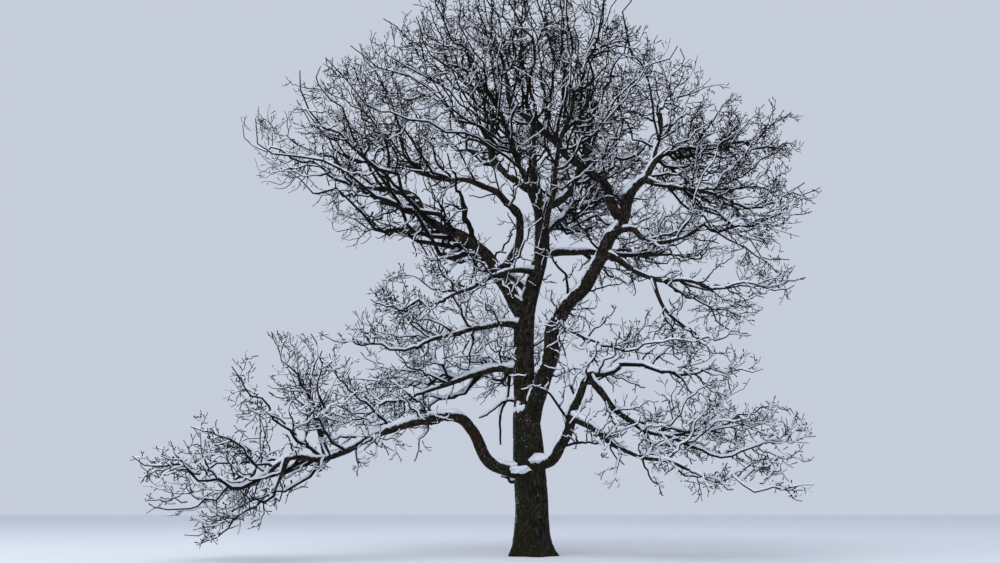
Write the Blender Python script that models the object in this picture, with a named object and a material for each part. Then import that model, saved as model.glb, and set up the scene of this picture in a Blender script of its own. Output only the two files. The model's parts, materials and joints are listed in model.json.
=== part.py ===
"""A bare oak, standing in the open in winter: a trunk, its boughs and a crown of leafless twig masses.

Metres, +Z up. The origin is the middle of the flat cut under the trunk, at ground level.
+X is the right-hand side seen from the front, and +Y runs away from the viewer.
A heading is in degrees seen from above: 0 is right, 90 is away, 180 is left and 270 is towards the viewer.
"""

import math
import random
from collections import namedtuple

import bmesh
import bpy
import numpy as np

CLEARANCE = 0.0003

# The trunk: the line of its heart, its radius at each height, and the lobes of its root flare

TRUNK_SIDES = 16
TRUNK_LINE = (
    (0.00, 0.00, 0.00),
    (-0.01, 0.00, 1.20),
    (-0.08, 0.01, 2.50),
    (-0.12, 0.02, 3.40),
    (-0.07, 0.01, 4.60),
    (0.24, -0.02, 5.85),
    (0.28, 0.00, 6.60),
    (0.12, 0.03, 7.90),
    (0.14, 0.06, 9.10),
)
TRUNK_GIRTHS = (
    (0.00, 0.440),
    (0.15, 0.380),
    (0.40, 0.335),
    (0.80, 0.312),
    (1.70, 0.305),
    (2.30, 0.270),
    (2.90, 0.215),
    (4.30, 0.200),
    (4.90, 0.175),
    (5.90, 0.150),
    (7.00, 0.125),
    (8.20, 0.085),
    (9.10, 0.045),
)
TRUNK_RING_STEP = 0.55
FLARE_RINGS = (0.0, 0.12, 0.28, 0.50, 0.80)
ROOT_LOBES = 5
ROOT_LOBE_DEPTH = 0.16
ROOT_LOBE_FADE = 0.30

# The boughs: where each leaves its parent, in metres along it, its heading at the foot and how far
# that swings by the tip, its bends as reach and rise from the foot, and its radius at foot and tip

BOUGH_STEP = 0.36
THICK_BOUGH = 0.060
COLLAR_SWELL = 0.35
COLLAR_LENGTH = 0.25
CROOKS = ((1.70, 0.035), (0.75, 0.014))

Bough = namedtuple("Bough", "parent leaves heading swing bends girths")

BOUGHS = {
    "low_left": Bough(
        "trunk", 1.46, 195, 26,
        ((0.59, 0.14), (0.81, 0.28), (1.01, 0.52), (1.17, 0.81), (1.36, 1.02), (1.75, 1.08), (2.25, 0.98),
         (2.95, 0.70), (3.60, 0.40), (4.15, 0.20), (4.60, 0.18), (4.95, -0.04)),
        (0.125, 0.042),
    ),
    "low_left_rise": Bough(
        "low_left", 4.57, 170, 0, ((0.14, 0.30), (0.26, 0.62), (0.40, 0.90)), (0.055, 0.026)
    ),
    "low_left_drop": Bough(
        "low_left", 5.31, 245, 0, ((0.12, -0.25), (0.26, -0.52)), (0.044, 0.024)
    ),
    "mid_left": Bough(
        "trunk", 3.50, 170, 10, ((0.58, 0.05), (1.00, -0.06), (1.50, -0.25), (2.10, -0.40)), (0.090, 0.036)
    ),
    "upper_mid_left": Bough(
        "trunk", 4.40, 203, 0, ((0.60, -0.02), (1.40, -0.26), (2.20, -0.56)), (0.075, 0.034)
    ),
    "crossing_left": Bough(
        "trunk", 5.55, 222, 0, ((0.50, -0.05), (1.28, -0.38), (2.40, -1.05)), (0.062, 0.030)
    ),
    "left_leader": Bough(
        "trunk", 4.62, 180, -14,
        ((0.20, 0.24), (0.52, 0.80), (0.86, 1.38), (2.03, 2.16), (2.41, 2.66), (3.10, 2.95), (3.90, 3.12)),
        (0.150, 0.044),
    ),
    "left_leader_up": Bough(
        "left_leader", 1.14, 165, 0,
        ((-0.23, 0.15), (-0.48, 0.60), (-0.54, 1.02), (-0.38, 1.40), (0.11, 1.85), (0.81, 2.15),
         (1.40, 2.32), (2.40, 2.72)),
        (0.092, 0.040),
    ),
    "upper_left": Bough(
        "trunk", 7.45, 150, 0,
        ((0.25, 0.10), (0.72, 0.52), (1.10, 0.95), (1.12, 1.40), (1.05, 1.90), (1.20, 2.40)),
        (0.085, 0.040),
    ),
    "centre_right": Bough(
        "trunk", 7.05, 20, 0,
        ((0.47, 0.20), (0.84, 0.60), (1.05, 1.25), (1.24, 1.60), (1.30, 2.15), (1.44, 2.65)),
        (0.098, 0.040),
    ),
    "right_leader": Bough(
        "trunk", 2.32, 325, 21,
        ((0.22, 0.48), (0.34, 0.78), (0.48, 1.16), (0.57, 1.51), (0.69, 1.94), (0.99, 2.38), (1.31, 2.75),
         (1.64, 3.19), (1.89, 3.62), (2.11, 3.98), (2.25, 4.50)),
        (0.175, 0.115),
    ),
    "leader_left": Bough(
        "right_leader", 4.63, 190, 0,
        ((0.23, 0.40), (0.36, 0.80), (0.75, 1.10), (1.36, 1.57), (1.96, 2.15), (2.28, 2.50), (2.36, 3.00)),
        (0.096, 0.042),
    ),
    "leader_right": Bough(
        "right_leader", 5.16, 10, 0,
        ((0.18, 0.26), (0.38, 0.45), (0.60, 0.78), (0.96, 1.12), (1.40, 1.20), (1.80, 1.22)),
        (0.098, 0.040),
    ),
    "leader_up": Bough(
        "leader_right", 1.00, 50, 0, ((0.08, 0.30), (0.30, 0.75), (0.36, 1.30)), (0.055, 0.034)
    ),
    "right_tip": Bough(
        "leader_right", 0.55, 355, 0, ((0.30, -0.12), (0.95, -0.30), (1.40, -0.40), (1.75, -0.56)),
        (0.055, 0.030),
    ),
    "right_mid": Bough(
        "right_leader", 4.40, 345, 0, ((0.32, -0.02), (0.60, -0.32), (1.05, -0.38), (1.60, -0.12)),
        (0.062, 0.030),
    ),
    "right_low": Bough(
        "right_leader", 3.86, 338, 6,
        ((0.20, -0.10), (0.62, -0.44), (1.08, -0.66), (1.50, -0.72), (1.95, -0.88)),
        (0.062, 0.030),
    ),
    "right_drop": Bough(
        "right_low", 1.15, 325, 0, ((0.08, -0.38), (0.30, -0.78), (0.62, -1.02)), (0.040, 0.024)
    ),
    "right_back": Bough(
        "trunk", 5.98, 28, 6, ((0.50, 0.10), (1.11, 0.20), (2.40, 0.36), (3.60, 0.60)), (0.085, 0.034)
    ),
    "mid_right": Bough(
        "right_leader", 2.16, 322, 0, ((0.32, -0.18), (0.60, -0.36), (1.05, -0.58)), (0.052, 0.030)
    ),
    "low_right": Bough(
        "trunk", 1.60, 302, 56,
        ((0.81, 0.13), (1.06, 0.33), (1.21, 0.61), (1.31, 0.89), (1.46, 1.20), (1.65, 1.50), (1.86, 1.56),
         (2.07, 1.59), (2.24, 1.69)),
        (0.130, 0.050),
    ),
    "low_right_out": Bough(
        "low_right", 2.54, 352, 0, ((0.16, -0.30), (0.62, -0.80), (1.20, -1.10), (1.85, -1.34)),
        (0.062, 0.030),
    ),
    "low_right_under": Bough(
        "low_right", 1.68, 333, 0, ((0.26, -0.14), (0.88, -0.60), (1.45, -0.78), (2.05, -1.02)),
        (0.072, 0.030),
    ),
    "back_left": Bough(
        "trunk", 5.10, 132, 22, ((0.40, 0.35), (1.20, 1.00), (2.20, 1.85), (3.10, 2.20)), (0.088, 0.036)
    ),
    "back_high": Bough(
        "trunk", 8.00, 96, 0, ((0.30, 0.22), (0.85, 0.66), (1.50, 1.10), (2.10, 1.40)), (0.056, 0.034)
    ),
    "back_right": Bough(
        "trunk", 6.40, 62, 0, ((0.40, 0.30), (1.20, 0.90), (2.10, 1.60), (2.90, 1.95)), (0.075, 0.034)
    ),
    "back_low": Bough(
        "trunk", 3.10, 97, 0, ((0.50, 0.22), (1.30, 0.62), (2.30, 0.80), (3.20, 0.70)), (0.088, 0.034)
    ),
    "front_high": Bough(
        "trunk", 5.95, 283, 0, ((0.35, 0.30), (1.00, 1.05), (1.75, 1.85), (2.45, 2.30)), (0.068, 0.034)
    ),
    "front_left": Bough(
        "trunk", 6.70, 238, 0, ((0.30, 0.30), (0.85, 0.90), (1.55, 1.65), (2.20, 2.15)), (0.062, 0.034)
    ),
}

# The twig masses: the limb that carries each, the heading and lift of its long axis, and the full
# length, width and thickness of the egg-shaped space that its twigs fill

Mass = namedtuple("Mass", "limb heading lift length width thickness")

MASSES = {
    "crown_top": Mass("trunk", 100, 84, 3.70, 2.60, 2.60),
    "low_left": Mass("low_left", 208, 6, 2.10, 1.60, 1.30),
    "low_left_rise": Mass("low_left_rise", 186, 58, 1.60, 1.60, 1.30),
    "low_left_drop": Mass("low_left_drop", 206, -34, 1.40, 1.30, 0.90),
    "mid_left": Mass("mid_left", 182, -14, 2.00, 1.80, 1.40),
    "upper_mid_left": Mass("upper_mid_left", 205, 2, 2.00, 1.70, 1.30),
    "crossing_left": Mass("crossing_left", 220, -10, 1.60, 1.50, 1.20),
    "left_leader": Mass("left_leader", 170, 32, 3.40, 2.80, 2.30),
    "left_leader_up": Mass("left_leader_up", 160, 64, 3.40, 3.20, 2.40),
    "upper_left": Mass("upper_left", 168, 58, 3.40, 3.00, 2.40),
    "centre_right": Mass("centre_right", 20, 64, 2.90, 2.30, 2.10),
    "leader_left": Mass("leader_left", 230, 72, 2.40, 2.20, 2.00),
    "leader_right": Mass("leader_right", 12, 10, 2.20, 2.40, 2.00),
    "leader_up": Mass("leader_up", 45, 54, 2.60, 2.50, 2.10),
    "right_tip": Mass("right_tip", 354, 8, 1.80, 1.70, 1.40),
    "right_mid": Mass("right_mid", 336, 0, 2.10, 1.80, 1.40),
    "right_low": Mass("right_low", 345, 2, 1.75, 1.60, 1.20),
    "right_drop": Mass("right_drop", 326, -14, 1.20, 1.10, 0.90),
    "right_back": Mass("right_back", 34, 16, 2.20, 2.20, 1.80),
    "mid_right": Mass("mid_right", 325, -4, 2.00, 1.60, 1.30),
    "low_right": Mass("low_right", 350, -3, 2.60, 1.90, 1.40),
    "low_right_out": Mass("low_right_out", 352, 5, 2.10, 1.90, 1.50),
    "low_right_under": Mass("low_right_under", 335, -8, 2.00, 1.70, 1.20),
    "back_left": Mass("back_left", 160, 10, 2.70, 2.40, 2.00),
    "back_high": Mass("back_high", 104, 36, 2.50, 2.40, 2.10),
    "back_right": Mass("back_right", 64, 26, 2.60, 2.50, 2.10),
    "back_low": Mass("back_low", 98, 10, 2.50, 2.60, 1.90),
    "front_high": Mass("front_high", 284, 24, 2.30, 2.30, 1.90),
    "front_left": Mass("front_left", 238, 30, 2.40, 2.30, 2.00),
}

# The twig rule: a stem runs through the space, side twigs leave it at golden-ratio stations, and
# each of those carries shorter ones

GOLDEN_SHARE = 0.618034
GOLDEN_ANGLE = math.radians(137.5)
STEM_LEAD = 0.10
STEM_BENDS = 3
SIDE_BENDS = 2
SIDE_TWIGS_AT_LEAST = 3.2
SIDE_TWIGS_A_METRE = 1.3
FINER_TWIGS = (2, 1)
FIRST_STATION = 0.10
LAST_STATION = 0.93
SPREAD_ANGLES = (math.radians(66), math.radians(38))
ZIGZAG = math.radians(13)
LIFT = 0.22
FILL = (0.80, 1.00)
LONGEST_SHARE = (0.72, 0.60)
TWIG_SHARE = 0.60
STEM_TIP = 0.008
TWIG_TIP = 0.005
TWIG_AIR = 0.012
LOWEST_TWIG = 0.08

BARK = (0.085, 0.075, 0.065)
TWIG_BARK = (0.100, 0.082, 0.072)
BARK_ROUGHNESS = 0.9


def unit(vector):
    return vector / np.linalg.norm(vector)


def heading_vector(heading, lift=0.0):
    """The unit vector of a heading and a lift above level, both in degrees."""
    turn = math.radians(heading)
    climb = math.radians(lift)
    return np.array((math.cos(turn) * math.cos(climb), math.sin(turn) * math.cos(climb), math.sin(climb)))


def lengths_along(points):
    steps = np.linalg.norm(np.diff(points, axis=0), axis=1)
    return np.concatenate(((0.0,), np.cumsum(steps)))


def at_length(points, distance):
    """The point of a polyline at a distance along it."""
    along = lengths_along(points)
    return np.array([np.interp(distance, along, points[:, axis]) for axis in range(3)])


def smooth_line(corners, pieces=8):
    """A Catmull-Rom curve through the corners."""
    corners = np.asarray(corners, dtype=float)
    ends = (2 * corners[0] - corners[1], 2 * corners[-1] - corners[-2])
    padded = np.vstack((ends[0], corners, ends[1]))
    line = []
    for a, b, c, d in zip(padded, padded[1:], padded[2:], padded[3:]):
        for t in np.linspace(0.0, 1.0, pieces, endpoint=False):
            line.append(0.5 * (2 * b + (c - a) * t + (2 * a - 5 * b + 4 * c - d) * t**2
                               + (3 * b - a - 3 * c + d) * t**3))
    line.append(corners[-1])
    return np.array(line)


def evenly(points, step):
    """The same line with points about a step apart."""
    along = lengths_along(points)
    count = max(2, round(along[-1] / step) + 1)
    marks = np.linspace(0.0, along[-1], count)
    return np.stack([np.interp(marks, along, points[:, axis]) for axis in range(3)], axis=1)


def crooked(points, key):
    """The line pushed gently off its course, by waves that start at nothing at its foot."""
    dice = random.Random(key)
    along = lengths_along(points)
    pushed = points.copy()
    for wave, depth in CROOKS:
        for axis in range(3):
            phase = dice.uniform(0, 2 * math.pi)
            push = np.sin(2 * math.pi * along / wave + phase) - math.sin(phase)
            pushed[:, axis] += depth * dice.uniform(0.5, 1.0) * push * np.minimum(1.0, along / wave)
    return pushed


def trunk_line():
    return smooth_line(TRUNK_LINE)


def bough_line(name, bough, parent_line):
    """A bough's bends, set out from where it leaves its parent."""
    place = at_length(parent_line, bough.leaves)
    line = [place]
    reach, rise = 0.0, 0.0
    for index, (next_reach, next_rise) in enumerate(bough.bends):
        swung = bough.heading + bough.swing * index / len(bough.bends)
        place = place + heading_vector(swung) * (next_reach - reach) + np.array((0, 0, next_rise - rise))
        line.append(place)
        reach, rise = next_reach, next_rise
    return crooked(smooth_line(line), name)


def limb_lines():
    """The heart line of the trunk and of every bough."""
    lines = {"trunk": trunk_line()}
    for name, bough in BOUGHS.items():
        lines[name] = bough_line(name, bough, lines[bough.parent])
    return lines


def bough_radii(points, girths):
    """An even taper, swollen into a collar at the foot."""
    along = lengths_along(points)
    taper = np.interp(along, (0.0, along[-1]), girths)
    return taper * (1.0 + COLLAR_SWELL * np.exp(-along / COLLAR_LENGTH))


def split_evenly(body):
    """Cuts every face the same way, so that a limb and its grown copy bend along the same creases."""
    bmesh.ops.triangulate(body, faces=body.faces, quad_method="FIXED", ngon_method="EAR_CLIP")


def collection_named(name, shown=True):
    collection = bpy.data.collections.new(name)
    bpy.context.scene.collection.children.link(collection)
    collection.hide_render = not shown
    return collection


def bark_material(name, colour):
    material = bpy.data.materials.new(name)
    material.use_nodes = True
    shader = material.node_tree.nodes["Principled BSDF"]
    shader.inputs["Base Color"].default_value = (*colour, 1.0)
    shader.inputs["Roughness"].default_value = BARK_ROUGHNESS
    shader.inputs["Metallic"].default_value = 0.0
    return material


def mesh_object(name, mesh, collection):
    thing = bpy.data.objects.new(name, mesh)
    collection.objects.link(thing)
    return thing


def finish_solid(solid, colour):
    """Smooth shading with sharp cut edges, and a bark of its own."""
    solid.data.materials.clear()
    solid.data.materials.append(bark_material(solid.name + "_bark", colour))
    solid.data.shade_smooth()
    solid.data.set_sharp_from_angle(angle=math.radians(50))


def trunk_radius(height):
    heights, radii = zip(*TRUNK_GIRTHS)
    return float(np.interp(height, heights, radii))


def trunk_solid(name, collection, grown=0.0):
    """A loft of level rings: five root lobes at the ground that fade into a round stem."""
    line = trunk_line()
    top = TRUNK_LINE[-1][2]
    steps = round((top - FLARE_RINGS[-1]) / TRUNK_RING_STEP)
    heights = list(FLARE_RINGS) + list(np.linspace(FLARE_RINGS[-1], top, steps + 1)[1:])
    mesh = bpy.data.meshes.new(name)
    body = bmesh.new()
    rings = []
    for height in heights:
        radius = trunk_radius(height)
        lobes = ROOT_LOBE_DEPTH * math.exp(-height / ROOT_LOBE_FADE)
        centre_x = np.interp(height, line[:, 2], line[:, 0])
        centre_y = np.interp(height, line[:, 2], line[:, 1])
        level = height
        if grown and height == heights[0]:
            level = height - grown
        if grown and height == heights[-1]:
            level = height + grown
        ring = []
        for side in range(TRUNK_SIDES):
            angle = 2 * math.pi * side / TRUNK_SIDES
            reach = radius * (1.0 + lobes * math.cos(ROOT_LOBES * angle + 0.6)) + grown
            ring.append(body.verts.new((centre_x + reach * math.cos(angle),
                                        centre_y + reach * math.sin(angle), level)))
        rings.append(ring)
    for lower, upper in zip(rings, rings[1:]):
        for side in range(TRUNK_SIDES):
            after = (side + 1) % TRUNK_SIDES
            body.faces.new((lower[side], lower[after], upper[after], upper[side]))
    body.faces.new(reversed(rings[0]))
    body.faces.new(rings[-1])
    bmesh.ops.recalc_face_normals(body, faces=body.faces)
    split_evenly(body)
    body.to_mesh(mesh)
    body.free()
    return mesh_object(name, mesh, collection)


def three_sided_profile():
    """The cross-section of a twig: a triangle of unit radius."""
    curve = bpy.data.curves.new("twig_section", "CURVE")
    curve.dimensions = "2D"
    spline = curve.splines.new("POLY")
    spline.points.add(2)
    for index, point in enumerate(spline.points):
        angle = -2 * math.pi * index / 3
        point.co = (math.cos(angle), math.sin(angle), 0.0, 1.0)
    spline.use_cyclic_u = True
    section = bpy.data.objects.new("twig_section", curve)
    bpy.context.scene.collection.objects.link(section)
    section.hide_render = True
    return section


def tube_mesh(name, points, radii, roundness=None, section=None):
    """The mesh of a tapering tube with closed ends, round or of a given section."""
    curve = bpy.data.curves.new(name, "CURVE")
    curve.dimensions = "3D"
    curve.use_fill_caps = True
    if section:
        curve.bevel_mode = "OBJECT"
        curve.bevel_object = section
    else:
        curve.bevel_depth = 1.0
        curve.bevel_resolution = roundness
    spline = curve.splines.new("POLY")
    spline.points.add(len(points) - 1)
    for point, place, radius in zip(spline.points, points, radii):
        point.co = (*place, 1.0)
        point.radius = radius
    tube = bpy.data.objects.new(name, curve)
    bpy.context.scene.collection.objects.link(tube)
    bpy.context.view_layer.update()
    mesh = bpy.data.meshes.new_from_object(tube.evaluated_get(bpy.context.evaluated_depsgraph_get()))
    bpy.data.objects.remove(tube)
    bpy.data.curves.remove(curve)
    body = bmesh.new()
    body.from_mesh(mesh)
    bmesh.ops.remove_doubles(body, verts=body.verts, dist=0.00005)
    bmesh.ops.recalc_face_normals(body, faces=body.faces)
    if roundness:
        split_evenly(body)
    body.to_mesh(mesh)
    body.free()
    mesh.name = name
    return mesh


def keep_main_body(mesh):
    """Drops the loose scraps of a cut, and keeps the body with the most faces."""
    body = bmesh.new()
    body.from_mesh(mesh)
    waiting = set(body.verts)
    bodies = []
    while waiting:
        front = [waiting.pop()]
        island = set(front)
        while front:
            vert = front.pop()
            for edge in vert.link_edges:
                other = edge.other_vert(vert)
                if other in waiting:
                    waiting.discard(other)
                    island.add(other)
                    front.append(other)
        bodies.append(island)
    bodies.sort(key=len, reverse=True)
    scraps = [vert for island in bodies[1:] for vert in island]
    bmesh.ops.delete(body, geom=scraps, context="VERTS")
    body.to_mesh(mesh)
    body.free()


def apply_modifiers(solid):
    """Swaps the object's mesh for the one that its modifiers give."""
    bpy.context.view_layer.update()
    evaluated = solid.evaluated_get(bpy.context.evaluated_depsgraph_get())
    mesh = bpy.data.meshes.new_from_object(evaluated)
    old = solid.data
    solid.modifiers.clear()
    solid.data = mesh
    bpy.data.meshes.remove(old)
    keep_main_body(solid.data)


def boolean(solid, operation, cutter=None, members=None):
    modifier = solid.modifiers.new(operation.lower(), "BOOLEAN")
    modifier.operation = operation
    modifier.solver = "EXACT"
    if members:
        modifier.operand_type = "COLLECTION"
        modifier.collection = members
    else:
        modifier.object = cutter


def bough_points(line, girths, grown=0.0):
    """The points and radii of a bough's tube, or of one grown on every side."""
    points = evenly(line, BOUGH_STEP)
    radii = bough_radii(points, girths) + grown
    if grown:
        points[-1] += unit(points[-1] - points[-2]) * grown
    return points, radii


def bough_tube(name, line, girths, collection, grown=0.0):
    roundness = 2 if girths[0] > THICK_BOUGH else 1
    mesh = tube_mesh(name, *bough_points(line, girths, grown), roundness=roundness)
    return mesh_object(name, mesh, collection)


def make_bough(name, bough, line, parent_cutter, parts):
    """A tapering limb whose foot is cut to its parent's side, a hair clear of it."""
    limb = bough_tube("bough_" + name, line, bough.girths, parts)
    boolean(limb, "DIFFERENCE", cutter=parent_cutter)
    apply_modifiers(limb)
    finish_solid(limb, BARK)


def segment_gaps(starts, ends, other_starts, other_ends):
    """The least distance of each segment to each other segment, as a table."""
    d1 = (ends - starts)[:, None, :]
    d2 = (other_ends - other_starts)[None, :, :]
    r = starts[:, None, :] - other_starts[None, :, :]
    a = np.sum(d1 * d1, axis=2)
    e = np.sum(d2 * d2, axis=2)
    f = np.sum(d2 * r, axis=2)
    c = np.sum(d1 * r, axis=2)
    b = np.sum(d1 * d2, axis=2)
    slack = np.maximum(a * e - b * b, 1e-12)
    s = np.clip((b * f - c * e) / slack, 0.0, 1.0)
    t = np.clip((b * s + f) / e, 0.0, 1.0)
    s = np.clip((b * t - c) / a, 0.0, 1.0)
    gap = r + d1 * s[:, :, None] - d2 * t[:, :, None]
    return np.linalg.norm(gap, axis=2)


class Obstacles:
    """The limbs and twigs that a new twig has to stay clear of."""

    def __init__(self):
        self.starts = np.empty((0, 3))
        self.ends = np.empty((0, 3))
        self.reach = np.empty(0)

    def add(self, points, radii):
        points = np.asarray(points)
        self.starts = np.vstack((self.starts, points[:-1]))
        self.ends = np.vstack((self.ends, points[1:]))
        self.reach = np.concatenate((self.reach, np.maximum(radii[:-1], radii[1:])))

    def clear(self, points, radii):
        points = np.asarray(points)
        thick = np.maximum(radii[:-1], radii[1:])
        gaps = segment_gaps(points[:-1], points[1:], self.starts, self.ends)
        return bool(np.all(gaps > thick[:, None] + self.reach[None, :] + TWIG_AIR))


class Space:
    """The egg-shaped room of one mass, starting at its limb's tip."""

    def __init__(self, mass, start):
        along = heading_vector(mass.heading, mass.lift)
        across = unit(np.cross((0.0, 0.0, 1.0), along))
        self.axes = np.stack((along, across, np.cross(along, across)))
        self.half = 0.5 * np.array((mass.length, mass.width, mass.thickness))
        self.centre = start + along * self.half[0] * 0.94

    def depth(self, point):
        """0 at the middle of the space and 1 at its edge."""
        return float(np.linalg.norm(self.axes @ (point - self.centre) / self.half))

    def room(self, point, direction):
        """How far it is from a point inside to the edge, along a direction."""
        p = self.axes @ (point - self.centre) / self.half
        d = self.axes @ direction / self.half
        a, b, c = d @ d, p @ d, p @ p - 1.0
        return float((-b + math.sqrt(max(b * b - a * c, 0.0))) / a)

    def holds(self, points):
        return all(self.depth(point) < 1.02 and point[2] > LOWEST_TWIG for point in points)


def zigzag_line(start, direction, length, bends, key):
    """A twig's line: it swings from side to side and lifts towards the light."""
    dice = random.Random(key + "/line")
    sideways = unit(np.cross(direction, heading_vector(dice.uniform(0, 360), dice.uniform(-60, 60))))
    points = [start]
    sign = dice.choice((-1, 1))
    for bend in range(bends):
        swing = math.tan(ZIGZAG * dice.uniform(0.5, 1.0)) * sign
        lift = np.array((0.0, 0.0, LIFT * (bend + 0.5) / bends))
        points.append(points[-1] + unit(direction + sideways * swing + lift) * length / bends)
        sign = -sign
    return np.array(points)


def side_direction(tangent, number, station, key):
    """Where a side twig points: turned by the golden angle from the last, wide below, narrow above."""
    dice = random.Random(key + "/turn")
    turn = number * GOLDEN_ANGLE + random.Random(key.rsplit("/", 1)[0]).uniform(0, 2 * math.pi)
    first = unit(np.cross(tangent, (0.31, 0.27, 0.91)))
    second = np.cross(tangent, first)
    outward = first * math.cos(turn) + second * math.sin(turn)
    spread = np.interp(station, (0.0, 1.0), SPREAD_ANGLES) * dice.uniform(0.85, 1.1)
    return unit(tangent * math.cos(spread) + outward * math.sin(spread))


def side_twigs(points, radii, level, count, key, space):
    """The twigs that one twig carries: each one's line and radii, before any is skipped."""
    along = lengths_along(points)
    for number in range(count):
        twig_key = f"{key}/{number}"
        station = FIRST_STATION + (LAST_STATION - FIRST_STATION) * ((0.5 + number * GOLDEN_SHARE) % 1.0)
        distance = station * along[-1]
        foot = at_length(points, distance)
        ahead = at_length(points, min(distance + 0.05, along[-1]))
        behind = at_length(points, max(distance - 0.05, 0.0))
        direction = side_direction(unit(ahead - behind), number, station, twig_key)
        dice = random.Random(twig_key + "/length")
        length = min(space.room(foot, direction) * dice.uniform(*FILL), along[-1] * LONGEST_SHARE[level])
        thick = max(float(np.interp(distance, along, radii)) * TWIG_SHARE, TWIG_TIP * 1.3)
        line = zigzag_line(foot, direction, length, SIDE_BENDS - level, twig_key)
        yield twig_key, line, np.linspace(thick, TWIG_TIP, len(line))


def stem_of(name, mass, line, tip_radius, space):
    """The stem: it leaves the limb's end squarely, a hair clear, and runs to the far edge of the space."""
    last = evenly(line, BOUGH_STEP)
    leaving = unit(last[-1] - last[-2])
    if mass.limb == "trunk":
        leaving = np.array((0.0, 0.0, 1.0))
    foot = line[-1] + leaving * CLEARANCE
    lead = foot + leaving * STEM_LEAD
    far = space.centre + space.axes[0] * space.half[0] * 0.97
    run = far - lead
    ahead = unit(run) - np.array((0, 0, LIFT * 0.5))
    points = zigzag_line(lead, ahead, np.linalg.norm(run), STEM_BENDS, name)
    points += np.linspace(0.0, 1.0, len(points))[:, None] * (far - points[-1])
    points = np.vstack((foot, points))
    along = lengths_along(points)
    radii = np.interp(along, (0.0, along[-1]), (tip_radius * 0.9, STEM_TIP))
    return points, radii


def grow_mass(name, mass, line, tip_radius, obstacles):
    """The stem and the twigs of one mass, as lines with radii, with those that don't fit skipped."""
    space = Space(mass, line[-1])
    stem = stem_of(name, mass, line, tip_radius, space)
    count = round(SIDE_TWIGS_AT_LEAST + SIDE_TWIGS_A_METRE * mass.length)
    twigs = []
    for number, (key, points, radii) in enumerate(side_twigs(*stem, 0, count, name, space)):
        if space.holds(points) and obstacles.clear(points, radii):
            twigs.append((points, radii))
            finer_count = FINER_TWIGS[number % len(FINER_TWIGS)]
            for _, finer, finer_radii in side_twigs(points, radii, 1, finer_count, key, space):
                if space.holds(finer) and obstacles.clear(finer, finer_radii):
                    twigs.append((finer, finer_radii))
    return stem, twigs


def make_mass(name, stem, twigs, section, parts):
    """One solid: the stem with all its twigs fused on."""
    members = collection_named("twigs_of_" + name, shown=False)
    node = "twigs_" + name
    mass = mesh_object(node, tube_mesh(node, *stem, roundness=0), parts)
    for number, (points, radii) in enumerate(twigs):
        mesh = tube_mesh(f"{name}_twig_{number}", points, radii, section=section)
        mesh_object(f"{name}_twig_{number}", mesh, members)
    boolean(mass, "UNION", members=members)
    apply_modifiers(mass)
    for twig in list(members.objects):
        bpy.data.objects.remove(twig)
    bpy.data.collections.remove(members)
    finish_solid(mass, TWIG_BARK)


def main():
    for thing in list(bpy.data.objects):
        bpy.data.objects.remove(thing)
    parts = collection_named("bare_oak_tree")
    cutting = collection_named("cutters", shown=False)
    lines = limb_lines()
    obstacles = Obstacles()

    finish_solid(trunk_solid("trunk", parts), BARK)
    cutters = {"trunk": trunk_solid("clear_of_trunk", cutting, grown=CLEARANCE)}
    tip_radii = {"trunk": TRUNK_GIRTHS[-1][1]}
    trunk_points = evenly(lines["trunk"], BOUGH_STEP)
    obstacles.add(trunk_points, np.array([trunk_radius(point[2]) for point in trunk_points]))

    for name, bough in BOUGHS.items():
        make_bough(name, bough, lines[name], cutters[bough.parent], parts)
        cutters[name] = bough_tube("clear_of_" + name, lines[name], bough.girths, cutting, grown=CLEARANCE)
        tip_radii[name] = bough.girths[1]
        obstacles.add(*bough_points(lines[name], bough.girths))
    for cutter in cutters.values():
        cutter.display_type = "WIRE"
        cutter.hide_render = True

    section = three_sided_profile()
    for name, mass in MASSES.items():
        stem, twigs = grow_mass(name, mass, lines[mass.limb], tip_radii[mass.limb], obstacles)
        make_mass(name, stem, twigs, section, parts)
        for points, radii in [stem] + twigs:
            obstacles.add(points, radii)
    bpy.data.objects.remove(section)


main()
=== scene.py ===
# %% [markdown]
# A bare oak after the first snow.
#
# The solids give the trunk, the boughs and a coarse version of each twig mass. This lesson dresses them.
# The trunk and boughs get bark that really stands out in ridges, each twig mass is grown again by the
# same seeded rule down to its last spurs, and snow is laid on whatever lies flat enough to hold it.

# %% Load the solids as a fixed frame
import json
import math
import random
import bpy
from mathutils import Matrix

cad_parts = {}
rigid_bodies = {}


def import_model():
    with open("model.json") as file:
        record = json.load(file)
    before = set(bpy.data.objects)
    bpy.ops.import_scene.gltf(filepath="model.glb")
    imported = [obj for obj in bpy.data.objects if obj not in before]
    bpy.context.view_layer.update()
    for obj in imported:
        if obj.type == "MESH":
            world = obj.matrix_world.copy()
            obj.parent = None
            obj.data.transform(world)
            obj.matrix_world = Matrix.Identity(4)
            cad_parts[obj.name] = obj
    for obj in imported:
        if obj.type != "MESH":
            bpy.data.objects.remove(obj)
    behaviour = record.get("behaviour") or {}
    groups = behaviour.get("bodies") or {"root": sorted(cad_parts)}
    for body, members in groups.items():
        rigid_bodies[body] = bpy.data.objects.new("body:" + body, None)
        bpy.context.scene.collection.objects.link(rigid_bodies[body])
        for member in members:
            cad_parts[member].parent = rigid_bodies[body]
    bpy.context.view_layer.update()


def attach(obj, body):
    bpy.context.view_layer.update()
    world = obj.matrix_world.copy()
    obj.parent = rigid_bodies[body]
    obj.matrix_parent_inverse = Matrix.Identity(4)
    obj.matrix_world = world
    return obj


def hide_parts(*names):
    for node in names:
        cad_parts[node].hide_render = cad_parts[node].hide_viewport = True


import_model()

import zlib
from collections import namedtuple

import bpy
import numpy as np
from mathutils import Vector, kdtree, noise

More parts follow.
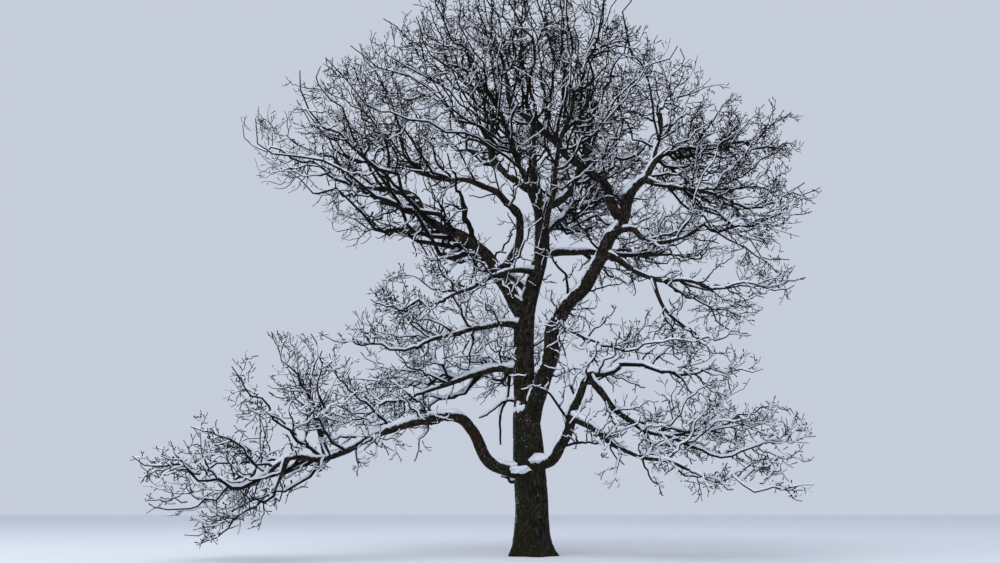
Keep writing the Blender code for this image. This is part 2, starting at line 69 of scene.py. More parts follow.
# %% [markdown]
# The camera stands where the viewer stood: 15 m in front of the trunk, eyes low, head tilted back far
# enough to see the top of the crown. The tilt and the focal length come from where the horizon lies and
# how fast the crown narrows upwards in the picture.

# %% Camera
VIEWER_PLACE = (-0.595, -15.0, 0.78)
VIEWER_TILT = 16.87
FOCAL_LENGTH_MM = 27.36
SENSOR_WIDTH_MM = 36.0

eye = bpy.data.cameras.new("viewer")
eye.sensor_width = SENSOR_WIDTH_MM
eye.lens = FOCAL_LENGTH_MM
viewer = bpy.data.objects.new("viewer", eye)
viewer.location = VIEWER_PLACE
viewer.rotation_euler = (math.radians(90 + VIEWER_TILT), 0, 0)
bpy.context.scene.collection.objects.link(viewer)
bpy.context.scene.camera = viewer
print("camera", VIEWER_PLACE, "tilted up", VIEWER_TILT, "degrees")

# %% [markdown]
# Colours are written as sRGB hex, the way a colour picker shows them, and one function turns them into
# the linear values that shaders use. One small function adds a shader node with its settings and links,
# so that each material below reads as a short list of what feeds what. The same filling of inputs serves
# the shader that a new material starts with.

# %% Colours and shader nodes
def linear(hex_colour, alpha=1.0):
    """sRGB hex such as #3a342e as linear RGBA."""
    parts = [int(hex_colour[i:i + 2], 16) / 255 for i in (1, 3, 5)]
    return tuple(c / 12.92 if c <= 0.04045 else ((c + 0.055) / 1.055) ** 2.4 for c in parts) + (alpha,)


def fill(tree, node, **inputs):
    """Fills inputs with values or with links from outputs: by name with _ for a space, or by number as n0."""
    for name, value in inputs.items():
        numbered = name[0] == "n" and name[1:].isdigit()
        socket = node.inputs[int(name[1:]) if numbered else name.replace("_", " ")]
        if isinstance(value, bpy.types.NodeSocket):
            tree.links.new(value, socket)
        else:
            socket.default_value = value


def add_node(tree, kind, settings=None, **inputs):
    """Adds a node with its settings and inputs. A colour ramp's stops are pairs of a position and a hex."""
    node = tree.nodes.new("ShaderNode" + kind)
    fill(tree, node, **inputs)
    for name, value in (settings or {}).items():
        if name != "stops":
            setattr(node, name, value)
            continue
        elements = node.color_ramp.elements
        while len(elements) < len(value):
            elements.new(0.5)
        for element, (position, colour) in zip(elements, value):
            element.position = position
            element.color = linear(colour)
    return node


def new_material(name):
    """A material with its node tree and the shader that it starts with."""
    material = bpy.data.materials.new(name)
    material.use_nodes = True
    return material, material.node_tree, material.node_tree.nodes["Principled BSDF"]


print("mid grey", [round(c, 3) for c in linear("#808080")])

# %% [markdown]
# An overcast winter sky lights a tree evenly from everywhere. A pale grey-blue world does that, one very
# large soft lamp above adds a little direction, and a plain pale floor sends light back up under the
# boughs as lying snow would. The standard view transform keeps the sky's own colour.

# %% Light and floor
SKY_COLOUR = "#c6cddb"
FLOOR_COLOUR = "#eef1f6"
FLOOR_SIZE = 400.0
FLOOR_ROUGHNESS = 0.9
SOFTBOX_SIZE = 30.0
SOFTBOX_WATTS = 5200.0
SOFTBOX_PLACE = (-10.0, -16.0, 28.0)
SOFTBOX_AIM = (0.0, 0.0, 5.0)

world = bpy.data.worlds.new("overcast")
bpy.context.scene.world = world
world.use_nodes = True
fill(world.node_tree, world.node_tree.nodes["Background"], Color=linear(SKY_COLOUR), Strength=1.0)
bpy.context.scene.view_settings.view_transform = "Standard"

lamp = bpy.data.lights.new("softbox", "AREA")
lamp.shape = "DISK"
lamp.size = SOFTBOX_SIZE
lamp.energy = SOFTBOX_WATTS
softbox = bpy.data.objects.new("softbox", lamp)
softbox.location = SOFTBOX_PLACE
softbox.rotation_euler = (Vector(SOFTBOX_AIM) - softbox.location).to_track_quat("-Z", "Y").to_euler()
bpy.context.scene.collection.objects.link(softbox)

bpy.ops.mesh.primitive_plane_add(size=FLOOR_SIZE)
floor = bpy.context.object
floor.name = "floor"
floor_paint, tree, shader = new_material("matt_pale_floor")
fill(tree, shader, Base_Color=linear(FLOOR_COLOUR), Roughness=FLOOR_ROUGHNESS)
floor.data.materials.append(floor_paint)
print("floor", FLOOR_SIZE, "m, sky", SKY_COLOUR)

# %% [markdown]
# Old oak bark is a dead outer layer that has split into long plates as the wood under it grew. The plate
# faces weather to grey-brown, and in a wet winter the whole is darker still. Towards the bottom of each
# furrow the colour darkens to nearly black, which is painted shade where the light hardly reaches. The
# furrows are real geometry further on, and each vertex carries how deep it lies, so that the painted shade
# follows the relief. A painted pattern could not know where the furrows run.

# %% Furrowed oak bark: plates and furrows
PLATE_GRAIN_MM = 9
# Tones from the bottom of a furrow to the face of a plate: the darkest are painted shade in the furrows.
PLATE_AND_FURROW_SHADE_STOPS = ((0.10, "#050403"), (0.45, "#110d0a"), (0.85, "#221c16"), (1.0, "#342d26"))

oak_bark, tree, shader = new_material("furrowed_oak_bark")
place = add_node(tree, "TexCoord").outputs["Object"]
depth = add_node(tree, "Attribute", {"attribute_name": "bark_height"}).outputs["Fac"]
grain = add_node(tree, "TexNoise", Vector=place, Scale=1000 / PLATE_GRAIN_MM, Detail=5.0,
                 Roughness=0.65).outputs["Fac"]
mixed = add_node(tree, "Math", {"operation": "MULTIPLY_ADD"}, n0=grain, n1=0.55, n2=-0.22).outputs[0]
height = add_node(tree, "Math", {"operation": "ADD"}, n0=depth, n1=mixed).outputs[0]
# Nearly black at the bottom of a furrow, grey-brown on the plate: the dark furrows are painted shade.
plates_and_furrow_shade = add_node(tree, "ValToRGB", {"stops": PLATE_AND_FURROW_SHADE_STOPS}, Fac=height).outputs["Color"]
print("oak bark:", len(PLATE_AND_FURROW_SHADE_STOPS), "tones from furrow to plate")

# %% [markdown]
# Pale crusts of lichen dot the plates. Only the peaks of a noise are kept, which gives round patches of
# many sizes; discs scattered by hand would all look alike.

# %% Lichen on the plates
LICHEN_SPOT_MM = 45
LICHEN_COLOUR = "#666a60"

spots = add_node(tree, "TexNoise", Vector=place, Scale=1000 / LICHEN_SPOT_MM, Detail=3.0).outputs["Fac"]
spotted = add_node(tree, "MapRange", Value=spots, From_Min=0.64, From_Max=0.72).outputs["Result"]
with_lichen = add_node(tree, "Mix", {"data_type": "RGBA"}, n0=spotted, n6=plates_and_furrow_shade,
                       n7=linear(LICHEN_COLOUR)).outputs[2]
print("lichen spots", LICHEN_SPOT_MM, "mm")

# %% [markdown]
# Moss settles where water lingers, which is low on the trunk and on its left side. So a patchy noise is
# raised low down and on what faces left, and moss shows where the sum is high: an edge drawn by hand
# would not wander over the plates as this one does.

# %% Moss where water lingers
MOSS_PATCH_MM = 420
MOSS_STOPS = ((0.35, "#0b0e04"), (0.65, "#22260d"))

patches = add_node(tree, "TexNoise", Vector=place, Scale=1000 / MOSS_PATCH_MM, Detail=6.0,
                   Roughness=0.7).outputs["Fac"]
normal = add_node(tree, "NewGeometry").outputs["Normal"]
facing = add_node(tree, "SeparateXYZ", Vector=normal).outputs["X"]
damp_side = add_node(tree, "Math", {"operation": "MULTIPLY_ADD"}, n0=facing, n1=-0.16,
                     n2=patches).outputs[0]
above_ground = add_node(tree, "SeparateXYZ", Vector=place).outputs["Z"]
low_down = add_node(tree, "MapRange", Value=above_ground, From_Min=0.3, From_Max=7.0, To_Min=0.14,
                    To_Max=-0.10).outputs["Result"]
damp = add_node(tree, "Math", {"operation": "ADD"}, n0=damp_side, n1=low_down).outputs[0]
mossy = add_node(tree, "MapRange", Value=damp, From_Min=0.54, From_Max=0.66,
                 To_Max=0.80).outputs["Result"]
moss = add_node(tree, "ValToRGB", {"stops": MOSS_STOPS}, Fac=grain).outputs["Color"]
mossed = add_node(tree, "Mix", {"data_type": "RGBA"}, n0=mossy, n6=with_lichen, n7=moss).outputs[2]
print("moss patches", MOSS_PATCH_MM, "mm")

# %% [markdown]
# On the elbow of the low left limb the outer bark has come away and shows the red-brown layer under it.
# The distance from the middle of the elbow says where, made ragged by the grain so that the edge looks
# torn and not cut.

# %% The bare elbow
BARE_ELBOW = (-1.02, -0.32, 2.22)
BARE_ELBOW_SIZE = 0.30
BARE_ELBOW_FADE = 0.06
INNER_BARK_COLOUR = "#2c1b14"

to_elbow = add_node(tree, "VectorMath", {"operation": "DISTANCE"}, n0=place,
                    n1=BARE_ELBOW).outputs["Value"]
ragged = add_node(tree, "Math", {"operation": "MULTIPLY_ADD"}, n0=grain, n1=0.22,
                  n2=to_elbow).outputs[0]
stripped = add_node(tree, "MapRange", Value=ragged, From_Min=BARE_ELBOW_SIZE,
                    From_Max=BARE_ELBOW_SIZE - BARE_ELBOW_FADE).outputs["Result"]
elbowed = add_node(tree, "Mix", {"data_type": "RGBA"}, n0=stripped, n6=mossed,
                   n7=linear(INNER_BARK_COLOUR)).outputs[2]
print("bare elbow", BARE_ELBOW_SIZE, "m round")

# %% [markdown]
# Driven snow has caught on the roughest bark of the windward side, in flecks too small to stand out as
# geometry. Fine spots show where broad drifts and the turn to windward add up high enough. The finish is
# that of dead damp bark: matt, with hardly any gloss, and a fine bump that follows the grain.

# %% Flecks of driven snow, and the finish of the bark
SNOW_FLECK_MM = 22
SNOW_DRIFT_MM = 5000 / 11  # eleven drifts in five metres
FLECK_COLOUR = "#cfd5de"
BARK_BUMP_MM = 5
BARK_ROUGHNESS = 0.88
BARK_GLOSS = 0.15

flecks = add_node(tree, "TexNoise", Vector=place, Scale=1000 / SNOW_FLECK_MM, Detail=2.0,
                  Roughness=0.7).outputs["Fac"]
drifts = add_node(tree, "TexNoise", Vector=place, Scale=1000 / SNOW_DRIFT_MM, Detail=2.0).outputs["Fac"]
edge_on = add_node(tree, "MapRange", Value=facing, From_Min=-0.70, From_Max=-1.0,
                   To_Max=0.15).outputs["Result"]
windward = add_node(tree, "Math", {"operation": "ADD"}, n0=edge_on, n1=flecks).outputs[0]
caught = add_node(tree, "Math", {"operation": "MULTIPLY_ADD"}, n0=drifts, n1=0.28,
                  n2=windward).outputs[0]
flecked = add_node(tree, "MapRange", Value=caught, From_Min=0.845, From_Max=0.885,
                   To_Max=0.85).outputs["Result"]
bark_colour = add_node(tree, "Mix", {"data_type": "RGBA"}, n0=flecked, n6=elbowed,
                       n7=linear(FLECK_COLOUR)).outputs[2]
bump = add_node(tree, "Bump", Height=grain, Strength=0.6, Distance=BARK_BUMP_MM / 1000).outputs["Normal"]
fill(tree, shader, Base_Color=bark_colour, Normal=bump, Roughness=BARK_ROUGHNESS,
     Specular_IOR_Level=BARK_GLOSS)
print("snow flecks", SNOW_FLECK_MM, "mm on oak bark of roughness", BARK_ROUGHNESS)

# %% [markdown]
# Branchlets and twigs have thin smooth bark. On this oak it is dark and damp with a grey lichen bloom, a
# little paler on the smallest spurs. Three tones are dealt out by the size of the twig, because a crown in
# which each twig had the same colour would look printed.

# %% Thin twig bark in three tones
BLOOM_PATCH_MM = 120
TWIG_GRAIN_MM = 6
TWIG_BUMP_MM = 2
TWIG_ROUGHNESS = 0.8
TWIG_TONES = {
    "damp_branchlet_bark": ("#080605", "#1b1712"),
    "dark_twig_bark": ("#090706", "#1e1915"),
    "spur_bark": ("#0d0a08", "#261f1b"),
}

twig_barks = {}
for name, (dark, pale) in TWIG_TONES.items():
    twig_barks[name], tree, shader = new_material(name)
    place = add_node(tree, "TexCoord").outputs["Object"]
    bloom = add_node(tree, "TexNoise", Vector=place, Scale=1000 / BLOOM_PATCH_MM, Detail=4.0).outputs["Fac"]
    grain = add_node(tree, "TexNoise", Vector=place, Scale=1000 / TWIG_GRAIN_MM, Detail=2.0).outputs["Fac"]
    tones = add_node(tree, "ValToRGB", {"stops": ((0.35, dark), (0.68, pale))}, Fac=bloom).outputs["Color"]
    bump = add_node(tree, "Bump", Height=grain, Strength=0.4, Distance=TWIG_BUMP_MM / 1000).outputs["Normal"]
    fill(tree, shader, Base_Color=tones, Normal=bump, Roughness=TWIG_ROUGHNESS, Specular_IOR_Level=BARK_GLOSS)
print("twig barks:", ", ".join(twig_barks))

# %% [markdown]
# Fresh snow is ice grains with air between them: very white, faintly blue in shade, with the refraction of
# ice and no gloss that shows at this distance. Real grains are a millimetre or two, too fine to show, so
# they are drawn as coarse as the soft lumps that the snow fell in.

# %% Lying snow
SNOW_GRAIN_MM = 14
SNOW_BUMP_MM = 6
SNOW_STOPS = ((0.3, "#dde4ef"), (0.7, "#f3f6fa"))
SNOW_ROUGHNESS = 0.65
ICE_IOR = 1.31

lying_snow, tree, shader = new_material("lying_snow")
place = add_node(tree, "TexCoord").outputs["Object"]
grains = add_node(tree, "TexNoise", Vector=place, Scale=1000 / SNOW_GRAIN_MM, Detail=4.0).outputs["Fac"]
white = add_node(tree, "ValToRGB", {"stops": SNOW_STOPS}, Fac=grains).outputs["Color"]
bump = add_node(tree, "Bump", Height=grains, Strength=0.35, Distance=SNOW_BUMP_MM / 1000).outputs["Normal"]
fill(tree, shader, Base_Color=white, Normal=bump, Roughness=SNOW_ROUGHNESS, IOR=ICE_IOR)
print("snow grain", SNOW_GRAIN_MM, "mm")

# %% [markdown]
# The limbs are laid out exactly as in the solids. The trunk is told by the places that it passes and by
# its radius at each height, which says its flare, its taper and its slight lean better than a formula.

# %% The trunk as a line
TRUNK_LINE = (
    (0.00, 0.00, 0.00), (-0.01, 0.00, 1.20), (-0.08, 0.01, 2.50), (-0.12, 0.02, 3.40), (-0.07, 0.01, 4.60),
    (0.24, -0.02, 5.85), (0.28, 0.00, 6.60), (0.12, 0.03, 7.90), (0.14, 0.06, 9.10),
)
TRUNK_GIRTHS = (
    (0.00, 0.440), (0.15, 0.380), (0.40, 0.335), (0.80, 0.312), (1.70, 0.305), (2.30, 0.270), (2.90, 0.215),
    (4.30, 0.200), (4.90, 0.175), (5.90, 0.150), (7.00, 0.125), (8.20, 0.085), (9.10, 0.045),
)
ROOT_LOBES = 5
ROOT_LOBE_DEPTH = 0.16
ROOT_LOBE_FADE = 0.30
ROOT_LOBE_TURN = 0.6
print("the trunk is a line of", len(TRUNK_LINE), "places up to", TRUNK_LINE[-1][2], "m")

# %% [markdown]
# Each bough is told by what it leaves and how many metres along that, its heading in degrees seen from
# above, how far that heading swings, its radius at foot and tip, and its bends as pairs of reach and rise
# from its foot. Listing the bends one by one keeps each limb's own character: on the left, the elbow of the
# low limb and the hanging ends.

# %% The boughs on the left
Bough = namedtuple("Bough", "parent leaves heading swing girths bends")

BOUGHS = {
    "low_left": Bough("trunk", 1.46, 195, 26, (0.125, 0.042), (
        (0.59, 0.14), (0.81, 0.28), (1.01, 0.52), (1.17, 0.81), (1.36, 1.02), (1.75, 1.08),
        (2.25, 0.98), (2.95, 0.70), (3.60, 0.40), (4.15, 0.20), (4.60, 0.18), (4.95, -0.04))),
    "low_left_rise": Bough("low_left", 4.57, 170, 0, (0.055, 0.026), (
        (0.14, 0.30), (0.26, 0.62), (0.40, 0.90))),
    "low_left_drop": Bough("low_left", 5.31, 245, 0, (0.044, 0.024), (
        (0.12, -0.25), (0.26, -0.52))),
    "mid_left": Bough("trunk", 3.50, 170, 10, (0.090, 0.036), (
        (0.58, 0.05), (1.00, -0.06), (1.50, -0.25), (2.10, -0.40))),
    "upper_mid_left": Bough("trunk", 4.40, 203, 0, (0.075, 0.034), (
        (0.60, -0.02), (1.40, -0.26), (2.20, -0.56))),
    "crossing_left": Bough("trunk", 5.55, 222, 0, (0.062, 0.030), (
        (0.50, -0.05), (1.28, -0.38), (2.40, -1.05))),
    "left_leader": Bough("trunk", 4.62, 180, -14, (0.150, 0.044), (
        (0.20, 0.24), (0.52, 0.80), (0.86, 1.38), (2.03, 2.16), (2.41, 2.66), (3.10, 2.95), (3.90, 3.12))),
    "left_leader_up": Bough("left_leader", 1.14, 165, 0, (0.092, 0.040), (
        (-0.23, 0.15), (-0.48, 0.60), (-0.54, 1.02), (-0.38, 1.40), (0.11, 1.85), (0.81, 2.15),
        (1.40, 2.32), (2.40, 2.72))),
    "upper_left": Bough("trunk", 7.45, 150, 0, (0.085, 0.040), (
        (0.25, 0.10), (0.72, 0.52), (1.10, 0.95), (1.12, 1.40), (1.05, 1.90), (1.20, 2.40))),
}
print(len(BOUGHS), "boughs on the left")

# %% [markdown]
# On the right the second stem climbs long and steep, and a low limb comes forward and then falls away.

# %% The boughs on the right
BOUGHS.update({
    "centre_right": Bough("trunk", 7.05, 20, 0, (0.098, 0.040), (
        (0.47, 0.20), (0.84, 0.60), (1.05, 1.25), (1.24, 1.60), (1.30, 2.15), (1.44, 2.65))),
    "right_leader": Bough("trunk", 2.32, 325, 21, (0.175, 0.115), (
        (0.22, 0.48), (0.34, 0.78), (0.48, 1.16), (0.57, 1.51), (0.69, 1.94), (0.99, 2.38),
        (1.31, 2.75), (1.64, 3.19), (1.89, 3.62), (2.11, 3.98), (2.25, 4.50))),
    "leader_left": Bough("right_leader", 4.63, 190, 0, (0.096, 0.042), (
        (0.23, 0.40), (0.36, 0.80), (0.75, 1.10), (1.36, 1.57), (1.96, 2.15), (2.28, 2.50), (2.36, 3.00))),
    "leader_right": Bough("right_leader", 5.16, 10, 0, (0.098, 0.040), (
        (0.18, 0.26), (0.38, 0.45), (0.60, 0.78), (0.96, 1.12), (1.40, 1.20), (1.80, 1.22))),
    "leader_up": Bough("leader_right", 1.00, 50, 0, (0.055, 0.034), (
        (0.08, 0.30), (0.30, 0.75), (0.36, 1.30))),
    "right_tip": Bough("leader_right", 0.55, 355, 0, (0.055, 0.030), (
        (0.30, -0.12), (0.95, -0.30), (1.40, -0.40), (1.75, -0.56))),
    "right_mid": Bough("right_leader", 4.40, 345, 0, (0.062, 0.030), (
        (0.32, -0.02), (0.60, -0.32), (1.05, -0.38), (1.60, -0.12))),
    "right_low": Bough("right_leader", 3.86, 338, 6, (0.062, 0.030), (
        (0.20, -0.10), (0.62, -0.44), (1.08, -0.66), (1.50, -0.72), (1.95, -0.88))),
    "right_drop": Bough("right_low", 1.15, 325, 0, (0.040, 0.024), (
        (0.08, -0.38), (0.30, -0.78), (0.62, -1.02))),
    "right_back": Bough("trunk", 5.98, 28, 6, (0.085, 0.034), (
        (0.50, 0.10), (1.11, 0.20), (2.40, 0.36), (3.60, 0.60))),
    "mid_right": Bough("right_leader", 2.16, 322, 0, (0.052, 0.030), (
        (0.32, -0.18), (0.60, -0.36), (1.05, -0.58))),
    "low_right": Bough("trunk", 1.60, 302, 56, (0.130, 0.050), (
        (0.81, 0.13), (1.06, 0.33), (1.21, 0.61), (1.31, 0.89), (1.46, 1.20), (1.65, 1.50),
        (1.86, 1.56), (2.07, 1.59), (2.24, 1.69))),
    "low_right_out": Bough("low_right", 2.54, 352, 0, (0.062, 0.030), (
        (0.16, -0.30), (0.62, -0.80), (1.20, -1.10), (1.85, -1.34))),
    "low_right_under": Bough("low_right", 1.68, 333, 0, (0.072, 0.030), (
        (0.26, -0.14), (0.88, -0.60), (1.45, -0.78), (2.05, -1.02))),
})
print(len(BOUGHS), "boughs with those on the right")

# %% [markdown]
# A flat fan of limbs would show from the side, so more boughs leave the trunk backwards and forwards.

# %% The boughs behind and in front
BOUGHS.update({
    "back_left": Bough("trunk", 5.10, 132, 22, (0.088, 0.036), (
        (0.40, 0.35), (1.20, 1.00), (2.20, 1.85), (3.10, 2.20))),
    "back_high": Bough("trunk", 8.00, 96, 0, (0.056, 0.034), (
        (0.30, 0.22), (0.85, 0.66), (1.50, 1.10), (2.10, 1.40))),
    "back_right": Bough("trunk", 6.40, 62, 0, (0.075, 0.034), (
        (0.40, 0.30), (1.20, 0.90), (2.10, 1.60), (2.90, 1.95))),
    "back_low": Bough("trunk", 3.10, 97, 0, (0.088, 0.034), (
        (0.50, 0.22), (1.30, 0.62), (2.30, 0.80), (3.20, 0.70))),
    "front_high": Bough("trunk", 5.95, 283, 0, (0.068, 0.034), (
        (0.35, 0.30), (1.00, 1.05), (1.75, 1.85), (2.45, 2.30))),
    "front_left": Bough("trunk", 6.70, 238, 0, (0.062, 0.034), (
        (0.30, 0.30), (0.85, 0.90), (1.55, 1.65), (2.20, 2.15))),
})
print(len(BOUGHS), "boughs in all")

# %% [markdown]
# Each limb's end carries a mass of twigs, in an egg-shaped space. A mass is told by the heading and the
# lift of its long axis in degrees, and its full length, width and thickness. It has its limb's name, and
# only the one on top of the trunk has a name of its own.

# %% The twig masses
Mass = namedtuple("Mass", "limb heading lift length width thickness")

MASSES = {
    "crown_top": (100, 84, 3.70, 2.60, 2.60),
    "low_left": (208, 6, 2.10, 1.60, 1.30),
    "low_left_rise": (186, 58, 1.60, 1.60, 1.30),
    "low_left_drop": (206, -34, 1.40, 1.30, 0.90),
    "mid_left": (182, -14, 2.00, 1.80, 1.40),
    "upper_mid_left": (205, 2, 2.00, 1.70, 1.30),
    "crossing_left": (220, -10, 1.60, 1.50, 1.20),
    "left_leader": (170, 32, 3.40, 2.80, 2.30),
    "left_leader_up": (160, 64, 3.40, 3.20, 2.40),
    "upper_left": (168, 58, 3.40, 3.00, 2.40),
    "centre_right": (20, 64, 2.90, 2.30, 2.10),
    "leader_left": (230, 72, 2.40, 2.20, 2.00),
    "leader_right": (12, 10, 2.20, 2.40, 2.00),
    "leader_up": (45, 54, 2.60, 2.50, 2.10),
    "right_tip": (354, 8, 1.80, 1.70, 1.40),
    "right_mid": (336, 0, 2.10, 1.80, 1.40),
    "right_low": (345, 2, 1.75, 1.60, 1.20),
    "right_drop": (326, -14, 1.20, 1.10, 0.90),
    "right_back": (34, 16, 2.20, 2.20, 1.80),
    "mid_right": (325, -4, 2.00, 1.60, 1.30),
    "low_right": (350, -3, 2.60, 1.90, 1.40),
    "low_right_out": (352, 5, 2.10, 1.90, 1.50),
    "low_right_under": (335, -8, 2.00, 1.70, 1.20),
    "back_left": (160, 10, 2.70, 2.40, 2.00),
    "back_high": (104, 36, 2.50, 2.40, 2.10),
    "back_right": (64, 26, 2.60, 2.50, 2.10),
    "back_low": (98, 10, 2.50, 2.60, 1.90),
    "front_high": (284, 24, 2.30, 2.30, 1.90),
    "front_left": (238, 30, 2.40, 2.30, 2.00),
}
MASSES = {name: Mass("trunk" if name == "crown_top" else name, *space) for name, space in MASSES.items()}
print(len(MASSES), "twig masses")

# %% [markdown]
# A smooth curve through the bends gives each limb's heart, and two slow waves push it gently off course,
# because no limb of an oak runs true for more than a hand's breadth. The waves are seeded with the limb's
# name, so they fall where they fall in the solids.

# %% Lines from bends
BOUGH_STEP = 0.36
CROOKS = ((1.70, 0.035), (0.75, 0.014))
CROOK_SHARE = (0.5, 1.0)


def unit(vector):
    """The vector drawn to a length of one."""
    return vector / np.linalg.norm(vector)


def heading_vector(heading, lift=0.0):
    """The unit vector of a heading and a lift above level, both in degrees."""
    turn = math.radians(heading)
    climb = math.radians(lift)
    return np.array((math.cos(turn) * math.cos(climb), math.sin(turn) * math.cos(climb), math.sin(climb)))


def lengths_along(points):
    """How far along a line each of its points lies."""
    steps = np.linalg.norm(np.diff(points, axis=0), axis=1)
    return np.concatenate(((0.0,), np.cumsum(steps)))


def at_length(points, distance):
    """The place at a distance along a line."""
    along = lengths_along(points)
    return np.array([np.interp(distance, along, points[:, axis]) for axis in range(3)])


def smooth_line(corners, pieces=8):
    """A Catmull-Rom curve through the corners."""
    corners = np.asarray(corners, dtype=float)
    ends = (2 * corners[0] - corners[1], 2 * corners[-1] - corners[-2])
    padded = np.vstack((ends[0], corners, ends[1]))
    line = []
    for a, b, c, d in zip(padded, padded[1:], padded[2:], padded[3:]):
        for t in np.linspace(0.0, 1.0, pieces, endpoint=False):
            line.append(0.5 * (2 * b + (c - a) * t + (2 * a - 5 * b + 4 * c - d) * t**2
                               + (3 * b - a - 3 * c + d) * t**3))
    line.append(corners[-1])
    return np.array(line)


def evenly(points, step):
    """The same line with points about a step apart."""
    along = lengths_along(points)
    count = max(2, round(along[-1] / step) + 1)
    marks = np.linspace(0.0, along[-1], count)
    return np.stack([np.interp(marks, along, points[:, axis]) for axis in range(3)], axis=1)


def crooked(points, key):
    """The line pushed gently off its course, by waves that start at nothing at its foot."""
    dice = random.Random(key)
    along = lengths_along(points)
    pushed = points.copy()
    for wave, depth in CROOKS:
        for axis in range(3):
            phase = dice.uniform(0, 2 * math.pi)
            push = np.sin(2 * math.pi * along / wave + phase) - math.sin(phase)
            pushed[:, axis] += depth * dice.uniform(*CROOK_SHARE) * push * np.minimum(1.0, along / wave)
    return pushed


def bough_line(name, bough, parent_line):
    """A bough's bends, set out from where it leaves its parent."""
    place = at_length(parent_line, bough.leaves)
    line = [place]
    reach, rise = 0.0, 0.0
    for index, (next_reach, next_rise) in enumerate(bough.bends):
        swung = bough.heading + bough.swing * index / len(bough.bends)
        place = place + heading_vector(swung) * (next_reach - reach) + np.array((0, 0, next_rise - rise))
        line.append(place)
        reach, rise = next_reach, next_rise
    return crooked(smooth_line(line), name)


limb_lines = {"trunk": smooth_line(TRUNK_LINE)}
for name, bough in BOUGHS.items():
    limb_lines[name] = bough_line(name, bough, limb_lines[bough.parent])
print("limb length in all:", round(sum(lengths_along(line)[-1] for line in limb_lines.values()), 1), "m")

# %% [markdown]
# A limb is skinned by carrying a ring along its line without twist, and setting each ring's points in or
# out. A curve with a bevel would do for smooth limbs, but it gives no hold on the single points of a ring.
# The same ring-carrying serves every tube in the lesson, so it is written for many lines at once.

# %% Carrying rings along lines
OFF_AXIS = (0.31, 0.27, 0.91)
TINY = 1e-12


def carried_frames(lines):
    """Along, across and up directions at each point of many lines of one length, an N x K x 3 array."""
    steps = np.diff(lines, axis=1)
    steps /= np.linalg.norm(steps, axis=2, keepdims=True) + TINY
    along = np.concatenate((steps[:, :1], 0.5 * (steps[:, 1:] + steps[:, :-1]), steps[:, -1:]), axis=1)
    along /= np.linalg.norm(along, axis=2, keepdims=True) + TINY
    across = np.cross(along[:, 0], np.array(OFF_AXIS))
    across /= np.linalg.norm(across, axis=1, keepdims=True) + TINY
    carried = [across]
    for k in range(1, lines.shape[1]):
        across = across - np.sum(across * along[:, k], axis=1, keepdims=True) * along[:, k]
        across = across / (np.linalg.norm(across, axis=1, keepdims=True) + TINY)
        carried.append(across)
    across = np.stack(carried, axis=1)
    return along, across, np.cross(along, across)


def ring_triangles(count, rings, sides):
    """Triangles that skin many closed tubes, whose points run tube by tube, ring by ring."""
    side = np.arange(sides)
    after = (side + 1) % sides
    ring = np.arange(rings - 1)[:, None] * sides
    a, b = ring + side, ring + after
    c, d = b + sides, a + sides
    walls = np.concatenate([np.stack(corners, axis=2).reshape(-1, 3) for corners in ((a, b, c), (a, c, d))])
    fan = np.stack((np.zeros(sides - 2, dtype=int), np.arange(1, sides - 1), np.arange(2, sides)), axis=1)
    end = fan + (rings - 1) * sides
    one = np.concatenate((walls, fan[:, ::-1], end))
    shift = np.arange(count)[:, None, None] * rings * sides
    return (one[None] + shift).reshape(-1, 3)


def tubes(lines, radii, sides):
    """Closed tubes round many lines of one length: their points and triangles."""
    lines, radii = np.asarray(lines), np.asarray(radii)
    _, across, up = carried_frames(lines)
    turn = 2 * math.pi * np.arange(sides) / sides
    ring = (np.cos(turn)[None, None, :, None] * across[:, :, None, :]
            + np.sin(turn)[None, None, :, None] * up[:, :, None, :])
    points = lines[:, :, None, :] + ring * radii[:, :, None, None]
    return points.reshape(-1, 3), ring_triangles(*lines.shape[:2], sides)


print("a three-sided tube of 3 rings has", len(ring_triangles(1, 3, 3)), "triangles")

# %% [markdown]
# Blender can build a mesh face by face, but a crown has hundreds of thousands of them, so whole arrays are
# handed over at once. Every piece rides with the tree, and one with bark also carries its bark heights.

# %% Pieces from arrays
def mesh_piece(name, points, triangles, material, slot, heights=None):
    """A smooth mesh object from arrays, riding with the tree."""
    mesh = bpy.data.meshes.new(name)
    mesh.vertices.add(len(points))
    mesh.vertices.foreach_set("co", np.asarray(points, dtype=np.float32).ravel())
    mesh.loops.add(3 * len(triangles))
    mesh.loops.foreach_set("vertex_index", np.asarray(triangles, dtype=np.int32).ravel())
    mesh.polygons.add(len(triangles))
    mesh.polygons.foreach_set("loop_start", np.arange(0, 3 * len(triangles), 3, dtype=np.int32))
    mesh.update(calc_edges=True)
    mesh.shade_smooth()
    if heights is not None:
        carried = mesh.attributes.new("bark_height", "FLOAT", "POINT")
        carried.data.foreach_set("value", heights.astype(np.float32))
    mesh.materials.append(material)
    piece = bpy.data.objects.new(name, mesh)
    bpy.context.scene.collection.objects.link(piece)
    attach(piece, "root")
    return piece


print("pieces so far:", len(bpy.data.meshes), "meshes with the solids and the floor")

# %% [markdown]
# The furrows of oak bark run with the limb and part long plates. A noise whose zero crossings are pulled
# long in the limb's direction gives them: near zero the bark dips, elsewhere it is a flat plate. Slower
# swellings and knots stop the limb looking turned on a lathe. A bump map could not give the rough edge
# that shows against the sky, so all of it is geometry.

# %% Bark relief
PLATE_STRETCH = 3.2
FURROW_SHARE = 0.26
PLATE_SIZES = ((1.0, 0.72), (0.45, 0.28))
BARK_LEVEL = 0.7
SWELLING = 0.07
SWELLING_LENGTH = 0.55
SWELLING_ROUND = 0.7
KNOT = 0.05
KNOT_ROUND = 1.6
KNOT_LENGTH = 0.16
KNOT_FROM = 0.15


